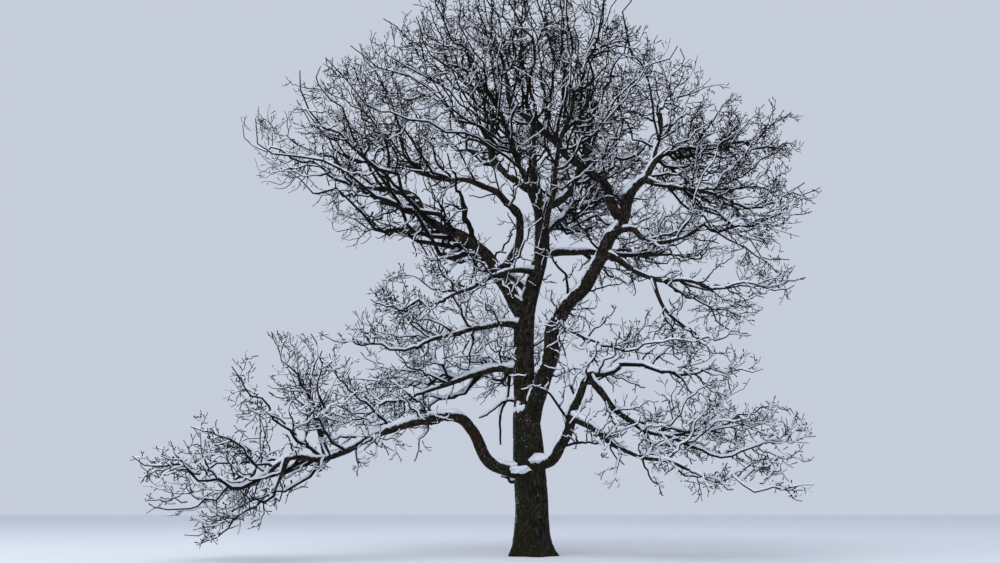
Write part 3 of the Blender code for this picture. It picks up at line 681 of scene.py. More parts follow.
def furrowed(around, along, plate):
    """1 on a plate of bark and 0 at the bottom of a furrow."""
    total = 0.0
    for scale, share in PLATE_SIZES:
        size = plate * scale
        spot = Vector((around[0] / size, around[1] / size, along / size / PLATE_STRETCH))
        total += share * min(1.0, abs(noise.noise(spot)) / FURROW_SHARE)
    return total * total * (3 - 2 * total)


def own_place(key, places, spacing):
    """A limb's own place in a noise, so that no two limbs share a pattern."""
    return (zlib.crc32(key.encode()) % places) * spacing


def swollen(c, s, along, shift):
    """How far a limb swells or knots out, as a share of its radius."""
    wave = Vector((c * SWELLING_ROUND + shift, s * SWELLING_ROUND, along / SWELLING_LENGTH))
    knot = noise.noise(Vector((c * KNOT_ROUND, s * KNOT_ROUND + shift, along / KNOT_LENGTH)))
    return SWELLING * noise.noise(wave) + KNOT * max(0.0, knot - KNOT_FROM)


def bark_skin(line, radii, sides, plate, depth, key, level_rings=False, lobes=None):
    """Points, triangles and bark heights of one limb, furrowed and swollen."""
    frames = carried_frames(line[None])
    across, up = frames[1][0], frames[2][0]
    if level_rings:
        across = np.tile((1.0, 0.0, 0.0), (len(line), 1))
        up = np.tile((0.0, 1.0, 0.0), (len(line), 1))
    shift = own_place(key, places=977, spacing=0.37)
    along = lengths_along(line)
    points, heights = [], []
    for k, (centre, radius) in enumerate(zip(line, radii)):
        for side in range(sides):
            turn = 2 * math.pi * side / sides
            c, s = math.cos(turn), math.sin(turn)
            swell = swollen(c, s, along[k], shift)
            if lobes:
                swell += lobes(turn, along[k])
            high = furrowed((c * radius + shift, s * radius), along[k], plate)
            reach = radius * (1.0 + swell) + depth * (high - BARK_LEVEL)
            points.append(centre + (across[k] * c + up[k] * s) * reach)
            heights.append(high)
    return np.array(points), ring_triangles(1, len(line), sides), np.array(heights)


print("a plate is", PLATE_STRETCH, "times as long as it is wide")

# %% [markdown]
# The trunk's rings lie level, so that the cut at the ground is flat, and the root flare pushes them out in
# lobes that die away upwards.

# %% The trunk's bark
TRUNK_PLATE = 0.050
TRUNK_FURROW_DEPTH = 0.016
RING_GAP = 0.032
TRUNK_RING_SIDES = 104


def root_flare(turn, height):
    """How far the roots push the trunk out, as a share of its radius."""
    fading = math.exp(-height / ROOT_LOBE_FADE)
    return ROOT_LOBE_DEPTH * fading * math.cos(ROOT_LOBES * turn + ROOT_LOBE_TURN)


trunk_fine = evenly(limb_lines["trunk"], RING_GAP)
trunk_fine[0, 2] = 0.0
trunk_radii = np.interp(trunk_fine[:, 2], *zip(*TRUNK_GIRTHS))
trunk_skin = bark_skin(trunk_fine, trunk_radii, TRUNK_RING_SIDES, TRUNK_PLATE, TRUNK_FURROW_DEPTH, "trunk",
                       level_rings=True, lobes=root_flare)
trunk_skin[0][:TRUNK_RING_SIDES, 2] = 0.0
trunk_piece = mesh_piece("trunk_bark", *trunk_skin[:2], oak_bark, "bark", heights=trunk_skin[2])
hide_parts("trunk")
print("trunk bark:", len(trunk_skin[1]), "triangles")

# %% [markdown]
# A bough tapers evenly and swells into a collar where it leaves its parent. Younger wood has finer bark, so
# its plates and furrows are scaled down with its girth.

# %% The boughs' bark
COLLAR_SWELL = 0.35
COLLAR_LENGTH = 0.25
SIDE_WIDTH = 0.024
FEWEST_SIDES = 10
CHEST_RADIUS = TRUNK_GIRTHS[4][1]
BARK_SCALING = 0.6


def bough_radii(points, girths):
    """An even taper, swollen into a collar at the foot."""
    along = lengths_along(points)
    taper = np.interp(along, (0.0, along[-1]), girths)
    return taper * (1.0 + COLLAR_SWELL * np.exp(-along / COLLAR_LENGTH))


fine_limbs = {"trunk": (trunk_fine, trunk_radii)}
bough_skins = []
for name, bough in BOUGHS.items():
    line = evenly(limb_lines[name], RING_GAP)
    radii = bough_radii(line, bough.girths)
    fine_limbs[name] = (line, radii)
    sides = max(FEWEST_SIDES, round(2 * math.pi * bough.girths[0] / SIDE_WIDTH))
    share = (bough.girths[0] / CHEST_RADIUS) ** BARK_SCALING
    skin = bark_skin(line, radii, sides, TRUNK_PLATE * share, TRUNK_FURROW_DEPTH * share, name)
    piece = mesh_piece("bark_" + name, *skin[:2], oak_bark, "bark", heights=skin[2])
    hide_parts("bough_" + name)
    bough_skins.append(len(skin[1]))
print("bough bark:", sum(bough_skins), "triangles on", len(bough_skins), "boughs")

# %% [markdown]
# Twigs follow one rule at every size. A twig leaves its parent at a station given by the golden ratio,
# turned from the last one by the golden angle, wide below and narrow above, and runs most of the way to
# the edge of the egg-shaped space that its spray may fill. It swings from side to side as an oak twig
# does, because each year's end bud dies back and a side bud takes over. The dice are seeded with each
# twig's own name, so the first few twigs of every mass are the ones in the solids, and the rest fill in
# between them, down to the short knobbly spurs that carry next year's buds.

# %% The twig rule in numbers
GOLDEN_SHARE = 0.618034
GOLDEN_ANGLE = math.radians(137.5)
TANGENT_STEP = 0.05
STEM_LEAD = 0.10
STEM_REACH = 0.97
STEM_SEAT = 0.05
STEM_FOOT_SHARE = 0.95
STEM_SINK = 0.5
STEM_BENDS = 3
SIDE_BENDS = 2
FIRST_STATION = 0.10
LAST_STATION = 0.93
SPREAD_ANGLES = (math.radians(66), math.radians(38))
SPREAD_SHARE = (0.85, 1.10)
FINER_WIDE = 0.30
ZIGZAG = math.radians(13)
ZIGZAG_SHARE = (0.5, 1.0)
LIFT = 0.22
FILL = (0.80, 1.00)
FINER_FILL = (0.40, 1.00)
LONGEST_SHARE = (0.72, 0.60, 0.50)
TWIG_SHARE = 0.70
STEM_TIP = 0.008
TWIG_TIP = 0.0062
FOOT_OVER_TIP = 1.3
LOWEST_TWIG = 0.08
SPUR_LENGTH = 0.15
SHORTEST_TWIG = 0.04
FIRST_TWIGS = (3.2, 1.3)
SPACE_SET_BACK = 0.94
SPACE_LEEWAY = 1.02
print("stations:", [round((0.5 + number * GOLDEN_SHARE) % 1.0, 2) for number in range(6)])

# %% The space of one spray
Twig = namedtuple("Twig", "key points radii")


class Space:
    """The egg-shaped room of one spray, starting where the spray does."""

    def __init__(self, heading, lift, length, width, thickness, start, within=None):
        along = heading_vector(heading, lift)
        across = unit(np.cross((0.0, 0.0, 1.0), along))
        self.axes = np.stack((along, across, np.cross(along, across)))
        self.half = 0.5 * np.array((length, width, thickness))
        self.centre = start + along * self.half[0] * SPACE_SET_BACK
        self.within = within

    def depths(self, points):
        """0 at the middle of the space and 1 at its edge."""
        return np.linalg.norm((points - self.centre) @ self.axes.T / self.half, axis=1)

    def room(self, point, direction):
        """How far it is from a point inside to the edge, along a direction."""
        p = self.axes @ (point - self.centre) / self.half
        d = self.axes @ direction / self.half
        a, b, c = d @ d, p @ d, p @ p - 1.0
        return float((-b + math.sqrt(max(b * b - a * c, 0.0))) / a)

    def holds(self, points):
        """Whether points lie in the space, above the ground, and where else they have to stay."""
        if points[:, 2].min() < LOWEST_TWIG or self.depths(points).max() > SPACE_LEEWAY:
            return False
        return self.within is None or self.within(points)


print("a space reaches", round(0.5 * (1 + SPACE_SET_BACK), 2), "of its length beyond its foot")

# %% [markdown]
# A line drawn straight and then shaken would look nervous. An oak twig turns only where a year's growth
# ended, so the line is a few straight runs, each swung to the other side from the last and lifted a little
# more.

# %% One twig and the directions of its side twigs
def zigzag_line(start, direction, length, bends, key):
    """A twig's line: it swings from side to side and lifts towards the light."""
    dice = random.Random(key + "/line")
    anywhere = heading_vector(dice.uniform(0, 360), dice.uniform(-60, 60))
    sideways = unit(np.cross(direction, anywhere))
    points = [start]
    sign = dice.choice((-1, 1))
    for bend in range(bends):
        swing = math.tan(ZIGZAG * dice.uniform(*ZIGZAG_SHARE)) * sign
        lift = np.array((0.0, 0.0, LIFT * (bend + 0.5) / bends))
        points.append(points[-1] + unit(direction + sideways * swing + lift) * length / bends)
        sign = -sign
    return np.array(points)


def side_direction(tangent, number, station, key):
    """Where a side twig points: a golden angle on from the last, wide below and narrow above."""
    dice = random.Random(key + "/turn")
    turn = number * GOLDEN_ANGLE + random.Random(key.rsplit("/", 1)[0]).uniform(0, 2 * math.pi)
    first = unit(np.cross(tangent, OFF_AXIS))
    second = np.cross(tangent, first)
    outward = first * math.cos(turn) + second * math.sin(turn)
    spread = np.interp(station, (0.0, 1.0), SPREAD_ANGLES) * dice.uniform(*SPREAD_SHARE)
    return unit(tangent * math.cos(spread) + outward * math.sin(spread))


print("side twigs leave at", [round(math.degrees(angle)) for angle in SPREAD_ANGLES], "degrees")

# %% [markdown]
# The rule is carried out twice: for the side twigs along a parent, and for the stem that starts a whole mass
# at its limb's end. A side twig that would leave the space is skipped and not bent back, as in the solids.

# %% Side twigs and stems
def side_twigs(parent, level, count, first_count, space):
    """The twigs that one twig carries, with those that leave the space skipped."""
    along = lengths_along(parent.points)
    grown = []
    for number in range(count):
        key = f"{parent.key}/{number}"
        golden = (0.5 + number * GOLDEN_SHARE) % 1.0
        station = FIRST_STATION + (LAST_STATION - FIRST_STATION) * golden
        distance = station * along[-1]
        foot = at_length(parent.points, distance)
        ahead = at_length(parent.points, min(distance + TANGENT_STEP, along[-1]))
        behind = at_length(parent.points, max(distance - TANGENT_STEP, 0.0))
        turned = station if number < first_count else station * FINER_WIDE
        direction = side_direction(unit(ahead - behind), number, turned, key)
        filled = random.Random(key + "/length").uniform(*(FILL if number < first_count else FINER_FILL))
        length = min(space.room(foot, direction) * filled, along[-1] * LONGEST_SHARE[level] * filled)
        if level == 2:
            length = min(length, SPUR_LENGTH * filled)
        if length < SHORTEST_TWIG:
            continue
        parent_radius = float(np.interp(distance, along, parent.radii))
        thick = max(parent_radius * TWIG_SHARE, TWIG_TIP * FOOT_OVER_TIP)
        line = zigzag_line(foot, direction, length, max(1, SIDE_BENDS - level), key)
        if space.holds(line[1:]):
            grown.append(Twig(key, line, np.linspace(thick, TWIG_TIP, len(line))))
    return grown


def line_to(target, foot, reach, key):
    """A zigzag line that ends in a given place."""
    aim = unit(target - foot) - np.array((0, 0, LIFT * STEM_SINK))
    points = zigzag_line(foot, aim, reach, STEM_BENDS, key)
    return points + np.linspace(0.0, 1.0, len(points))[:, None] * (target - points[-1])


def stem_of(name, mass, line, tip_radius, space):
    """A mass's stem: it leaves the limb's end squarely and runs to the far edge of the space."""
    last = evenly(line, BOUGH_STEP)
    leaving = unit(last[-1] - last[-2])
    if mass.limb == "trunk":
        leaving = np.array((0.0, 0.0, 1.0))
    lead = line[-1] + leaving * STEM_LEAD
    far = space.centre + space.axes[0] * space.half[0] * STEM_REACH
    points = line_to(far, lead, np.linalg.norm(far - lead), name)
    points = np.vstack((line[-1] - leaving * STEM_SEAT, points))
    along = lengths_along(points)
    return Twig(name, points, np.interp(along, (0.0, along[-1]), (tip_radius * STEM_FOOT_SHARE, STEM_TIP)))


print("each twig is at most", LONGEST_SHARE[0], "as long as its parent")

# %% [markdown]
# An oak's crown is a lumpy dome, and twigs stop at its outline as if at a wall, because past it there is
# nothing to shade out. The outline is told ring by ring, by height and by how far it reaches to the left,
# the right, the front and the back, and a rounded square joins the four.

# %% The crown's outline
Ring = namedtuple("Ring", "height left right front back")
CROWN = (
    Ring(0.30, 6.9, 4.6, 3.6, 3.6),
    Ring(1.20, 7.6, 5.1, 4.2, 4.2),
    Ring(2.00, 7.4, 5.4, 4.4, 4.4),
    Ring(2.80, 6.5, 5.2, 4.4, 4.6),
    Ring(3.40, 5.8, 4.7, 4.2, 4.6),
    Ring(3.80, 4.9, 3.9, 4.2, 4.8),
    Ring(4.40, 3.5, 4.9, 4.2, 5.0),
    Ring(5.20, 3.2, 5.6, 4.2, 5.2),
    Ring(6.20, 3.5, 5.9, 4.2, 5.4),
    Ring(6.90, 4.9, 5.9, 4.2, 5.4),
    Ring(7.60, 5.9, 5.7, 4.2, 5.4),
    Ring(9.00, 6.2, 5.1, 4.0, 5.2),
    Ring(10.20, 5.1, 4.2, 3.7, 4.6),
    Ring(11.10, 4.0, 3.1, 3.1, 3.7),
    Ring(12.00, 2.6, 2.0, 2.2, 2.6),
    Ring(12.80, 1.3, 1.2, 1.2, 1.4),
)
ROUNDNESS = 2.4
LAST_TWIG_LEFT = -6.78


def outwardness(points):
    """0 on the trunk and 1 at the crown's outline, which is set out ring by ring."""
    x, y, z = points.T
    heights = [ring.height for ring in CROWN]
    reach = [np.interp(z, heights, [ring[side] for ring in CROWN]) for side in (1, 2, 3, 4)]
    across = np.abs(x) / np.where(x < 0, reach[0], reach[1])
    along = np.abs(y) / np.where(y < 0, reach[2], reach[3])
    return (across**ROUNDNESS + along**ROUNDNESS) ** (1 / ROUNDNESS)


def in_crown(points):
    """Whether a twig stays inside the outline, under the crown's top and short of its leftmost tip."""
    if points[:, 2].max() > CROWN[-1].height or points[:, 0].min() < LAST_TWIG_LEFT:
        return False
    return bool(outwardness(points).max() < 1.0)


print("the crown spans", max(ring.left + ring.right for ring in CROWN), "m")

# %% [markdown]
# The rings are read off the picture, so high up a twig in front of the trunk has to stay inside them
# where it is seen from the viewer's place, not only where it stands. Its points are carried along their
# lines of sight on to the upright plane through the trunk and tried there.

# %% The crown's outline as it is seen
EYE = np.array(VIEWER_PLACE)
UPPER_CROWN = 8.5
SEEN_REACH = 1.05


def seen_on_trunk(points):
    """Where points are seen from the viewer's place, on the upright plane through the trunk."""
    onto_trunk = EYE[1] / (EYE[1] - points[:, 1])
    return EYE + (points - EYE) * onto_trunk[:, None]


def in_outline(points):
    """Whether a twig stays in the crown, and its upper part in the outline that the picture shows."""
    seen = seen_on_trunk(points)
    seen = seen[(points[:, 2] > UPPER_CROWN) & (seen[:, 2] < CROWN[-1].height)]
    return in_crown(points) and (len(seen) == 0 or bool(outwardness(seen).max() < SEEN_REACH))


print("above", UPPER_CROWN, "m a twig has to stay in the outline where it is seen, too")

# %% [markdown]
# Between the solids' few twigs the real crown has thousands. Each bough also carries side branches along
# its length, set out by the same rule in smaller spaces of their own. They are longest where the picture
# shows the crown dense and short where it shows sky, they are shorter underneath than above, and one that
# would cross a limb is left out. Each limb's habit is told in metres: how much of its foot is bare, the
# gap between its side branches, and how far they reach.

# %% The habit of each limb
Branching = namedtuple("Branching", "bare gap reach")
USUAL = Branching(0.80, 0.55, 1.90)
BRANCHINGS = {
    "trunk": (4.70, 0.50, 1.50),
    "low_left": (1.90, 0.18, 2.10),
    "low_left_rise": (0.30, 0.22, 1.50),
    "low_left_drop": (0.15, 0.12, 1.20),
    "left_leader": (1.45, 0.80, 2.00),
    "back_low": (1.60, 1.00, 1.40),
    "back_left": (0.80, 0.80, 1.80),
    "left_leader_up": (0.25, 0.32, 1.80),
    "centre_right": (0.60, 0.24, 1.80),
    "right_leader": (1.60, 0.34, 1.80),
    "leader_up": (0.30, 0.22, 1.80),
    "leader_right": (0.60, 0.24, 2.20),
    "right_tip": (0.40, 0.24, 2.00),
    "right_mid": (0.40, 0.24, 2.00),
    "right_low": (0.60, 0.32, 1.30),
    "right_drop": (0.60, 0.25, 0.90),
    "mid_right": (0.40, 0.15, 2.10),
    "low_right": (1.10, 0.21, 2.10),
    "low_right_out": (0.40, 0.15, 2.00),
    "low_right_under": (0.40, 0.18, 2.00),
    "crossing_left": (0.25, 0.22, 1.60),
    "mid_left": (0.30, 0.26, 1.70),
    "upper_mid_left": (0.30, 0.24, 1.80),
}
BRANCHINGS = {name: Branching(*habit) for name, habit in BRANCHINGS.items()}
print(len(BRANCHINGS), "limbs have a habit of their own")

# %% [markdown]
# To keep branches clear of limbs, each point of a branch asks for the nearest point of any limb. Trying
# them all would take minutes, so they are sorted into a tree that finds it at once.

# %% Keeping clear of the limbs
TWIG_CLEAR = 0.015
TRIED_EVERY = 0.10
EVERY_OTHER = slice(None, None, 2)


def tree_of(places):
    """The places sorted so that the nearest one to a point is found quickly."""
    tree = kdtree.KDTree(len(places))
    for index, place in enumerate(places):
        tree.insert(place, index)
    tree.balance()
    return tree


limb_points = np.concatenate([line[EVERY_OTHER] for line, _ in fine_limbs.values()])
limb_radii = np.concatenate([radii[EVERY_OTHER] for _, radii in fine_limbs.values()])
limb_tree = tree_of(limb_points)


def touches_limb(points, skip, clear=TWIG_CLEAR):
    """Whether a twig comes too near a limb once it is some way from its own foot."""
    foot = points[0]
    for point in evenly(points, TRIED_EVERY)[1:]:
        if np.linalg.norm(point - foot) < skip:
            continue
        _, index, distance = limb_tree.find(point)
        if distance < limb_radii[index] + clear:
            return True
    return False


print(len(limb_points), "points of limbs to keep clear of")

# %% [markdown]
# A side branch is as thick at its foot as its length needs, but never as thick as the limb that bears it,
# and every third one is long. One that would leave the crown is shortened until it fits.

# %% Side branches along the limbs
LONG_SHARE = (0.75, 1.00)
SHORT_SHARE = (0.40, 0.75)
EVERY_LONG = 3
UPWARD_GAIN = 0.30
DOWNWARD_LOSS = 0.55
BRANCH_STATION = 0.35
BRANCH_FOOT_SHARE = 0.55
BRANCH_FOOT = (0.011, 0.0102)
BRANCH_TIP = 0.0100
BRANCH_FILL = 0.92
BRANCH_JITTER = (0.1, 0.9)
BRANCH_TANGENT = 0.1
SHORTENING = 0.85
SHORTEST_BRANCH = 0.4
FOOT_RADII = 2.2
SPRAY_LIFT = 8
SPRAY_SHAPE = (0.95, 0.8)


def bearing(run, length=1.0):
    """The heading and the lift of a run, in degrees."""
    return math.degrees(math.atan2(run[1], run[0])), math.degrees(math.asin(run[2] / length))


def branch_twig(key, points, limb_radius):
    """A side branch's line with its radii, thick at the foot for its length and thin at the tip."""
    reach = lengths_along(points)[-1]
    thick = min(limb_radius * BRANCH_FOOT_SHARE, BRANCH_FOOT[0] + BRANCH_FOOT[1] * reach)
    return Twig(key, points, np.linspace(thick, min(thick, BRANCH_TIP), len(points)))


def branch_line(foot, direction, reach, key):
    """A side branch's reach and line, shortened until it stays in the outline."""
    points = zigzag_line(foot, direction, reach * BRANCH_FILL, STEM_BENDS, key)
    while reach > SHORTEST_BRANCH and not in_outline(points):
        reach *= SHORTENING
        points = zigzag_line(foot, direction, reach * BRANCH_FILL, STEM_BENDS, key)
    return reach, points


def branches_on(name, line, radii):
    """The side branches of one limb, each with the space that its spray may fill."""
    along = lengths_along(line)
    habit = BRANCHINGS.get(name, USUAL)
    grown = []
    for number in range(int((along[-1] - habit.bare) / habit.gap)):
        key = f"{name}/branch/{number}"
        dice = random.Random(key)
        distance = habit.bare + (number + dice.uniform(*BRANCH_JITTER)) * habit.gap
        foot = at_length(line, distance)
        ahead = at_length(line, min(distance + BRANCH_TANGENT, along[-1]))
        tangent = unit(ahead - at_length(line, distance - BRANCH_TANGENT))
        direction = side_direction(tangent, number, BRANCH_STATION, key)
        reach = habit.reach * dice.uniform(*(SHORT_SHARE if number % EVERY_LONG else LONG_SHARE))
        reach *= 1 + direction[2] * (UPWARD_GAIN if direction[2] > 0 else DOWNWARD_LOSS)
        radius = float(np.interp(distance, along, radii))
        reach, points = branch_line(foot, direction, reach, key)
        if points[:, 2].min() < LOWEST_TWIG or not in_outline(points):
            continue
        if touches_limb(points, radius * FOOT_RADII):
            continue
        heading, lift = bearing(direction)
        size = (reach, *(reach * share for share in SPRAY_SHAPE))
        space = Space(heading, lift + SPRAY_LIFT, *size, foot, in_outline)
        grown.append((branch_twig(key, points, radius), space))
    return grown


Spray = namedtuple("Spray", "limb stem space first_count")

sprays = []
for name, mass in MASSES.items():
    line = limb_lines[mass.limb]
    space = Space(*mass[1:], line[-1])
    tip_radius = TRUNK_GIRTHS[-1][1] if mass.limb == "trunk" else BOUGHS[mass.limb].girths[1]
    first_count = round(FIRST_TWIGS[0] + FIRST_TWIGS[1] * mass.length)
    sprays.append(Spray(mass.limb, stem_of(name, mass, line, tip_radius, space), space, first_count))
for name, (line, radii) in fine_limbs.items():
    for branch, space in branches_on(name, line, radii):
        sprays.append(Spray(name, branch, space, 0))
print(len(sprays), "sprays:", len(MASSES), "at the limb ends, the rest along the limbs")

# %% [markdown]
# A tree keeps the branches that found light and drops the rest, so its outline is full all round while
# its inside is open. Points are spread evenly over the crown's outline by the golden angle, and each one
# draws a branch out of the nearest limb, from a little way back, so that the branch sets off forwards. A
# point that no limb comes near stays empty: those are the gaps where the sky shows.

# %% Where the light is, and what can reach it
LIGHT_POINTS = 520
LIGHT_EDGE = (0.78, 0.97)
THICKEST_BEARER = 0.13


def outline_point(height, turn, share):
    """The crown's outline at one height, in one direction, drawn in to a share of its width."""
    way = np.array((math.cos(turn), math.sin(turn), 0.0))
    width = 1.0 / outwardness((way + (0, 0, height))[None])[0]
    return way * width * share + (0, 0, height)


bearing_marks = []
bearing_points = []
for name, (line, radii) in fine_limbs.items():
    for mark, point, radius in zip(lengths_along(line), line, radii):
        if radius < THICKEST_BEARER and mark > BRANCHINGS.get(name, USUAL).bare:
            bearing_marks.append((name, mark))
            bearing_points.append(point)
bearing_tree = tree_of(bearing_points)

ring_heights = np.array([ring.height for ring in CROWN])
ring_widths = np.array([sum(ring[1:]) for ring in CROWN])
bands = np.diff(ring_heights) * (ring_widths[1:] + ring_widths[:-1])
band_shares = np.concatenate(((0.0,), np.cumsum(bands))) / bands.sum()
print(len(bearing_points), "places on limbs can bear a branch")

# %% [markdown]
# Two branches can't leave a limb in one place, so a branch moves down the limb to the next free place or
# is given up. Some parts of the crown stay open in the picture: a point there draws out nothing.

# %% Room for one more branch
OPEN_FRONT = (-0.35, 8.5)
OPEN_FLOOR = (2.3, -2.5)
FOOT_SPACING = 0.11
WIDE_SPACINGS = {"back_left": 0.60, "left_leader": 0.24, "right_back": 0.25}


def kept_open(target):
    """Whether a point lies where the picture shows sky: low in front, or near the ground on the right."""
    in_front = target[1] < OPEN_FRONT[0] * np.linalg.norm(target[:2]) and target[2] < OPEN_FRONT[1]
    return in_front or (target[2] < OPEN_FLOOR[0] and target[0] > OPEN_FLOOR[1])


def free_mark(name, mark, taken):
    """The nearest place along a limb, from a mark towards its foot, that no other branch has taken."""
    bare = BRANCHINGS.get(name, USUAL).bare
    spacing = WIDE_SPACINGS.get(name, FOOT_SPACING)
    mark = max(mark, bare)
    while any(abs(mark - other) < spacing for other in taken[name]):
        mark -= spacing / 2
        if mark < bare:
            return None
    return mark


print("branches leave a limb at least", FOOT_SPACING, "m apart")

# %% [markdown]
# Each point is then tried in turn, from the crown's top down. A branch that would leave the outline or run
# close along a limb is given up, as the tree would have shaded it out.

# %% Branches that reach for the light
LIGHT_REACHES = (0.6, 3.3)
SET_BACK = 0.32
HUGGING = (0.35, 0.04)
ROOM_LENGTH = 1.22
ROOM_WIDTH = 0.85
ROOM_THICKNESS = 0.85
ROOM_WIDEST = 1.9
taken = {name: [] for name in fine_limbs}


def light_branch(number):
    """The spray that one point of light draws out of a limb, and where along it; or nothing."""
    key = f"light/{number}"
    height = np.interp((number + 0.5) / LIGHT_POINTS, band_shares, ring_heights)
    target = outline_point(height, number * GOLDEN_ANGLE, random.Random(key).uniform(*LIGHT_EDGE))
    _, index, distance = bearing_tree.find(target)
    if kept_open(target) or not LIGHT_REACHES[0] < distance < LIGHT_REACHES[1]:
        return None
    name, mark = bearing_marks[index]
    line, radii = fine_limbs[name]
    mark = free_mark(name, mark - distance * SET_BACK, taken)
    if mark is None:
        return None
    foot = at_length(line, mark)
    run = target - foot
    reach = float(np.linalg.norm(run))
    points = line_to(target, foot, reach, key)
    radius = float(np.interp(mark, lengths_along(line), radii))
    if not in_outline(points) or points[:, 2].min() < LOWEST_TWIG:
        return None
    if touches_limb(points, radius * FOOT_RADII + HUGGING[0], HUGGING[1]):
        return None
    width = min(reach * ROOM_WIDTH, ROOM_WIDEST)
    size = (reach * ROOM_LENGTH, width, width * ROOM_THICKNESS)
    space = Space(*bearing(run, reach), *size, foot, in_outline)
    return Spray(name, branch_twig(key, points, radius), space, 0), mark


for number in reversed(range(LIGHT_POINTS)):
    found = light_branch(number)
    if found:
        sprays.append(found[0])
        taken[found[0].limb].append(found[1])
print(sum(len(marks) for marks in taken.values()), "of", LIGHT_POINTS, "points found a limb in reach")

# %% [markdown]
# Branches low in the crown have died of shade. They hang from the boughs where they sagged or broke, with
# no twigs left on them, and a snapped stub stands under the low left limb. Chance would not put them where
# the eye looks for them, so each is told by its limb, how far along it leaves, its turns as pairs of metres
# sideways and up, and its radius at foot and end.

# %% Dead branches
Told = namedtuple("Told", "limb leaves turns radii")
DEAD_BRANCHES = (
    Told("mid_left", 0.30, ((-0.02, -0.40), (-0.14, -0.78), (-0.19, -1.10), (-0.17, -1.50)), (0.044, 0.018)),
    Told("trunk", 2.95, ((-0.30, -0.06), (-0.52, -0.16), (-0.78, -0.36), (-0.90, -0.40)), (0.036, 0.018)),
    Told("upper_mid_left", 1.15, ((0.00, -0.22), (-0.08, -0.52), (-0.10, -0.80)), (0.032, 0.014)),
    Told("left_leader", 1.85, ((-0.03, -0.30), (-0.05, -0.62), (-0.14, -0.98)), (0.034, 0.014)),
    Told("left_leader", 3.40, ((0.04, -0.40), (-0.10, -0.72), (-0.06, -1.10)), (0.028, 0.012)),
    Told("trunk", 1.30, ((-0.33, 0.04), (-0.42, 0.10), (-0.56, 0.13)), (0.055, 0.016)),
)
LEANS_FORWARD = -0.03


def told_branch(key, told, forwards):
    """A branch along its told turns, each a little forwards as well."""
    foot = at_length(fine_limbs[told.limb][0], told.leaves)
    turns = [(side, forward, rise) for (side, rise), forward in zip(told.turns, forwards)]
    points = foot + np.array([(0.0, 0.0, 0.0)] + turns)
    return Twig(key, points, np.linspace(*told.radii, len(points)))


for number, dead in enumerate(DEAD_BRANCHES):
    twig = told_branch(f"dead/{number}", dead, [LEANS_FORWARD] * len(dead.turns))
    sprays.append(Spray(dead.limb, twig, None, 0))
print(len(DEAD_BRANCHES), "dead branches")

# %% [markdown]
# One limb forks where no branch is drawn out by the light: the left leader sends up a thick arm near the
# middle of the crown. It is told in the same way but is alive, so it also gets the space that its spray
# fills.

# %% The arm on the left leader
ARM = Told("left_leader", 1.85, ((-0.10, 0.34), (-0.22, 0.82), (-0.36, 1.20), (-0.46, 1.62), (-0.64, 2.10)),
           (0.072, 0.016))
ARM_LEAN = -0.05
ARM_ROOM = (1.9, 1.3)

arm = told_branch("arm/0", ARM, [ARM_LEAN * rise for _, rise in ARM.turns])
run = arm.points[-1] - arm.points[0]
reach = np.linalg.norm(run)
space = Space(*bearing(run, reach), reach * ROOM_LENGTH, *ARM_ROOM, arm.points[0], in_outline)
sprays.append(Spray(ARM.limb, arm, space, 0))
print("the arm is", round(float(reach), 2), "m long")

# %% [markdown]
# Each spray is grown from its stem outwards: twigs, finer twigs, then spurs. The counts follow the length
# of the twig that carries them, so that long and short ones are equally dense, and fall off in the shade
# inside the crown. Some limbs of the real tree are fuller or barer than the rule makes them, so each may
# have a share of its own.

# %% How many twigs a twig carries
TWIGS_PER_METRE = 4.2
FINER_PER_METRE = 3.7
SPURS_PER_METRE = 5.2
LEAST_COUNTS = (3.0, 1.5, 0.8)
SHADE_RANGE = (0.15, 0.70)
SHADE_SHARE = 0.30
CROWN_HEART = 8.3
LIMB_FULLNESS = {
    "back_left": 0.45, "back_low": 0.50, "crossing_left": 1.30, "leader_left": 0.75,
    "leader_right": 1.45, "leader_up": 0.80, "left_leader": 0.68, "low_left_rise": 0.90,
    "mid_left": 1.20, "mid_right": 1.30, "right_back": 0.60, "right_drop": 0.70, "right_leader": 1.30,
    "right_low": 0.75, "right_mid": 0.85, "right_tip": 1.10, "trunk": 0.80, "upper_left": 0.85,
    "upper_mid_left": 1.20,
}


def count_on(limb, twig, level):
    """How many twigs one twig carries: by its length, and fewer in the shade inside the crown."""
    per_metre = (TWIGS_PER_METRE, FINER_PER_METRE, SPURS_PER_METRE)[level]
    middle = twig.points[len(twig.points) // 2]
    high = (middle[2] - CROWN_HEART) / (CROWN[-1].height - CROWN_HEART)
    light = np.interp(max(outwardness(middle[None])[0], high), SHADE_RANGE, (SHADE_SHARE, 1.0))
    light *= LIMB_FULLNESS.get(limb, 1.0)
    return int((LEAST_COUNTS[level] + per_metre * lengths_along(twig.points)[-1]) * light + 0.5)


print("per metre:", TWIGS_PER_METRE, "twigs,", FINER_PER_METRE, "finer twigs,", SPURS_PER_METRE, "spurs")

# %% [markdown]
# Where many twigs have grown already, a newcomer finds no light and dies back, which keeps the crown even.
# The air is divided into cells that hold only so many of one size. The picture also shows windows of sky
# in the crown, told by their left, right, low and high edge in metres on the plane through the trunk, and
# half of the twigs seen in them die.

# %% Room in the air
CROWD_CELLS = {1: (0.60, 3), 2: (0.36, 2)}
SKY_GAPS = ((-1.9, -0.3, 8.2, 10.2), (-3.4, -1.9, 6.4, 7.8), (3.0, 4.2, 7.0, 8.3))
GAP_SHARE = 0.5
crowd = {}


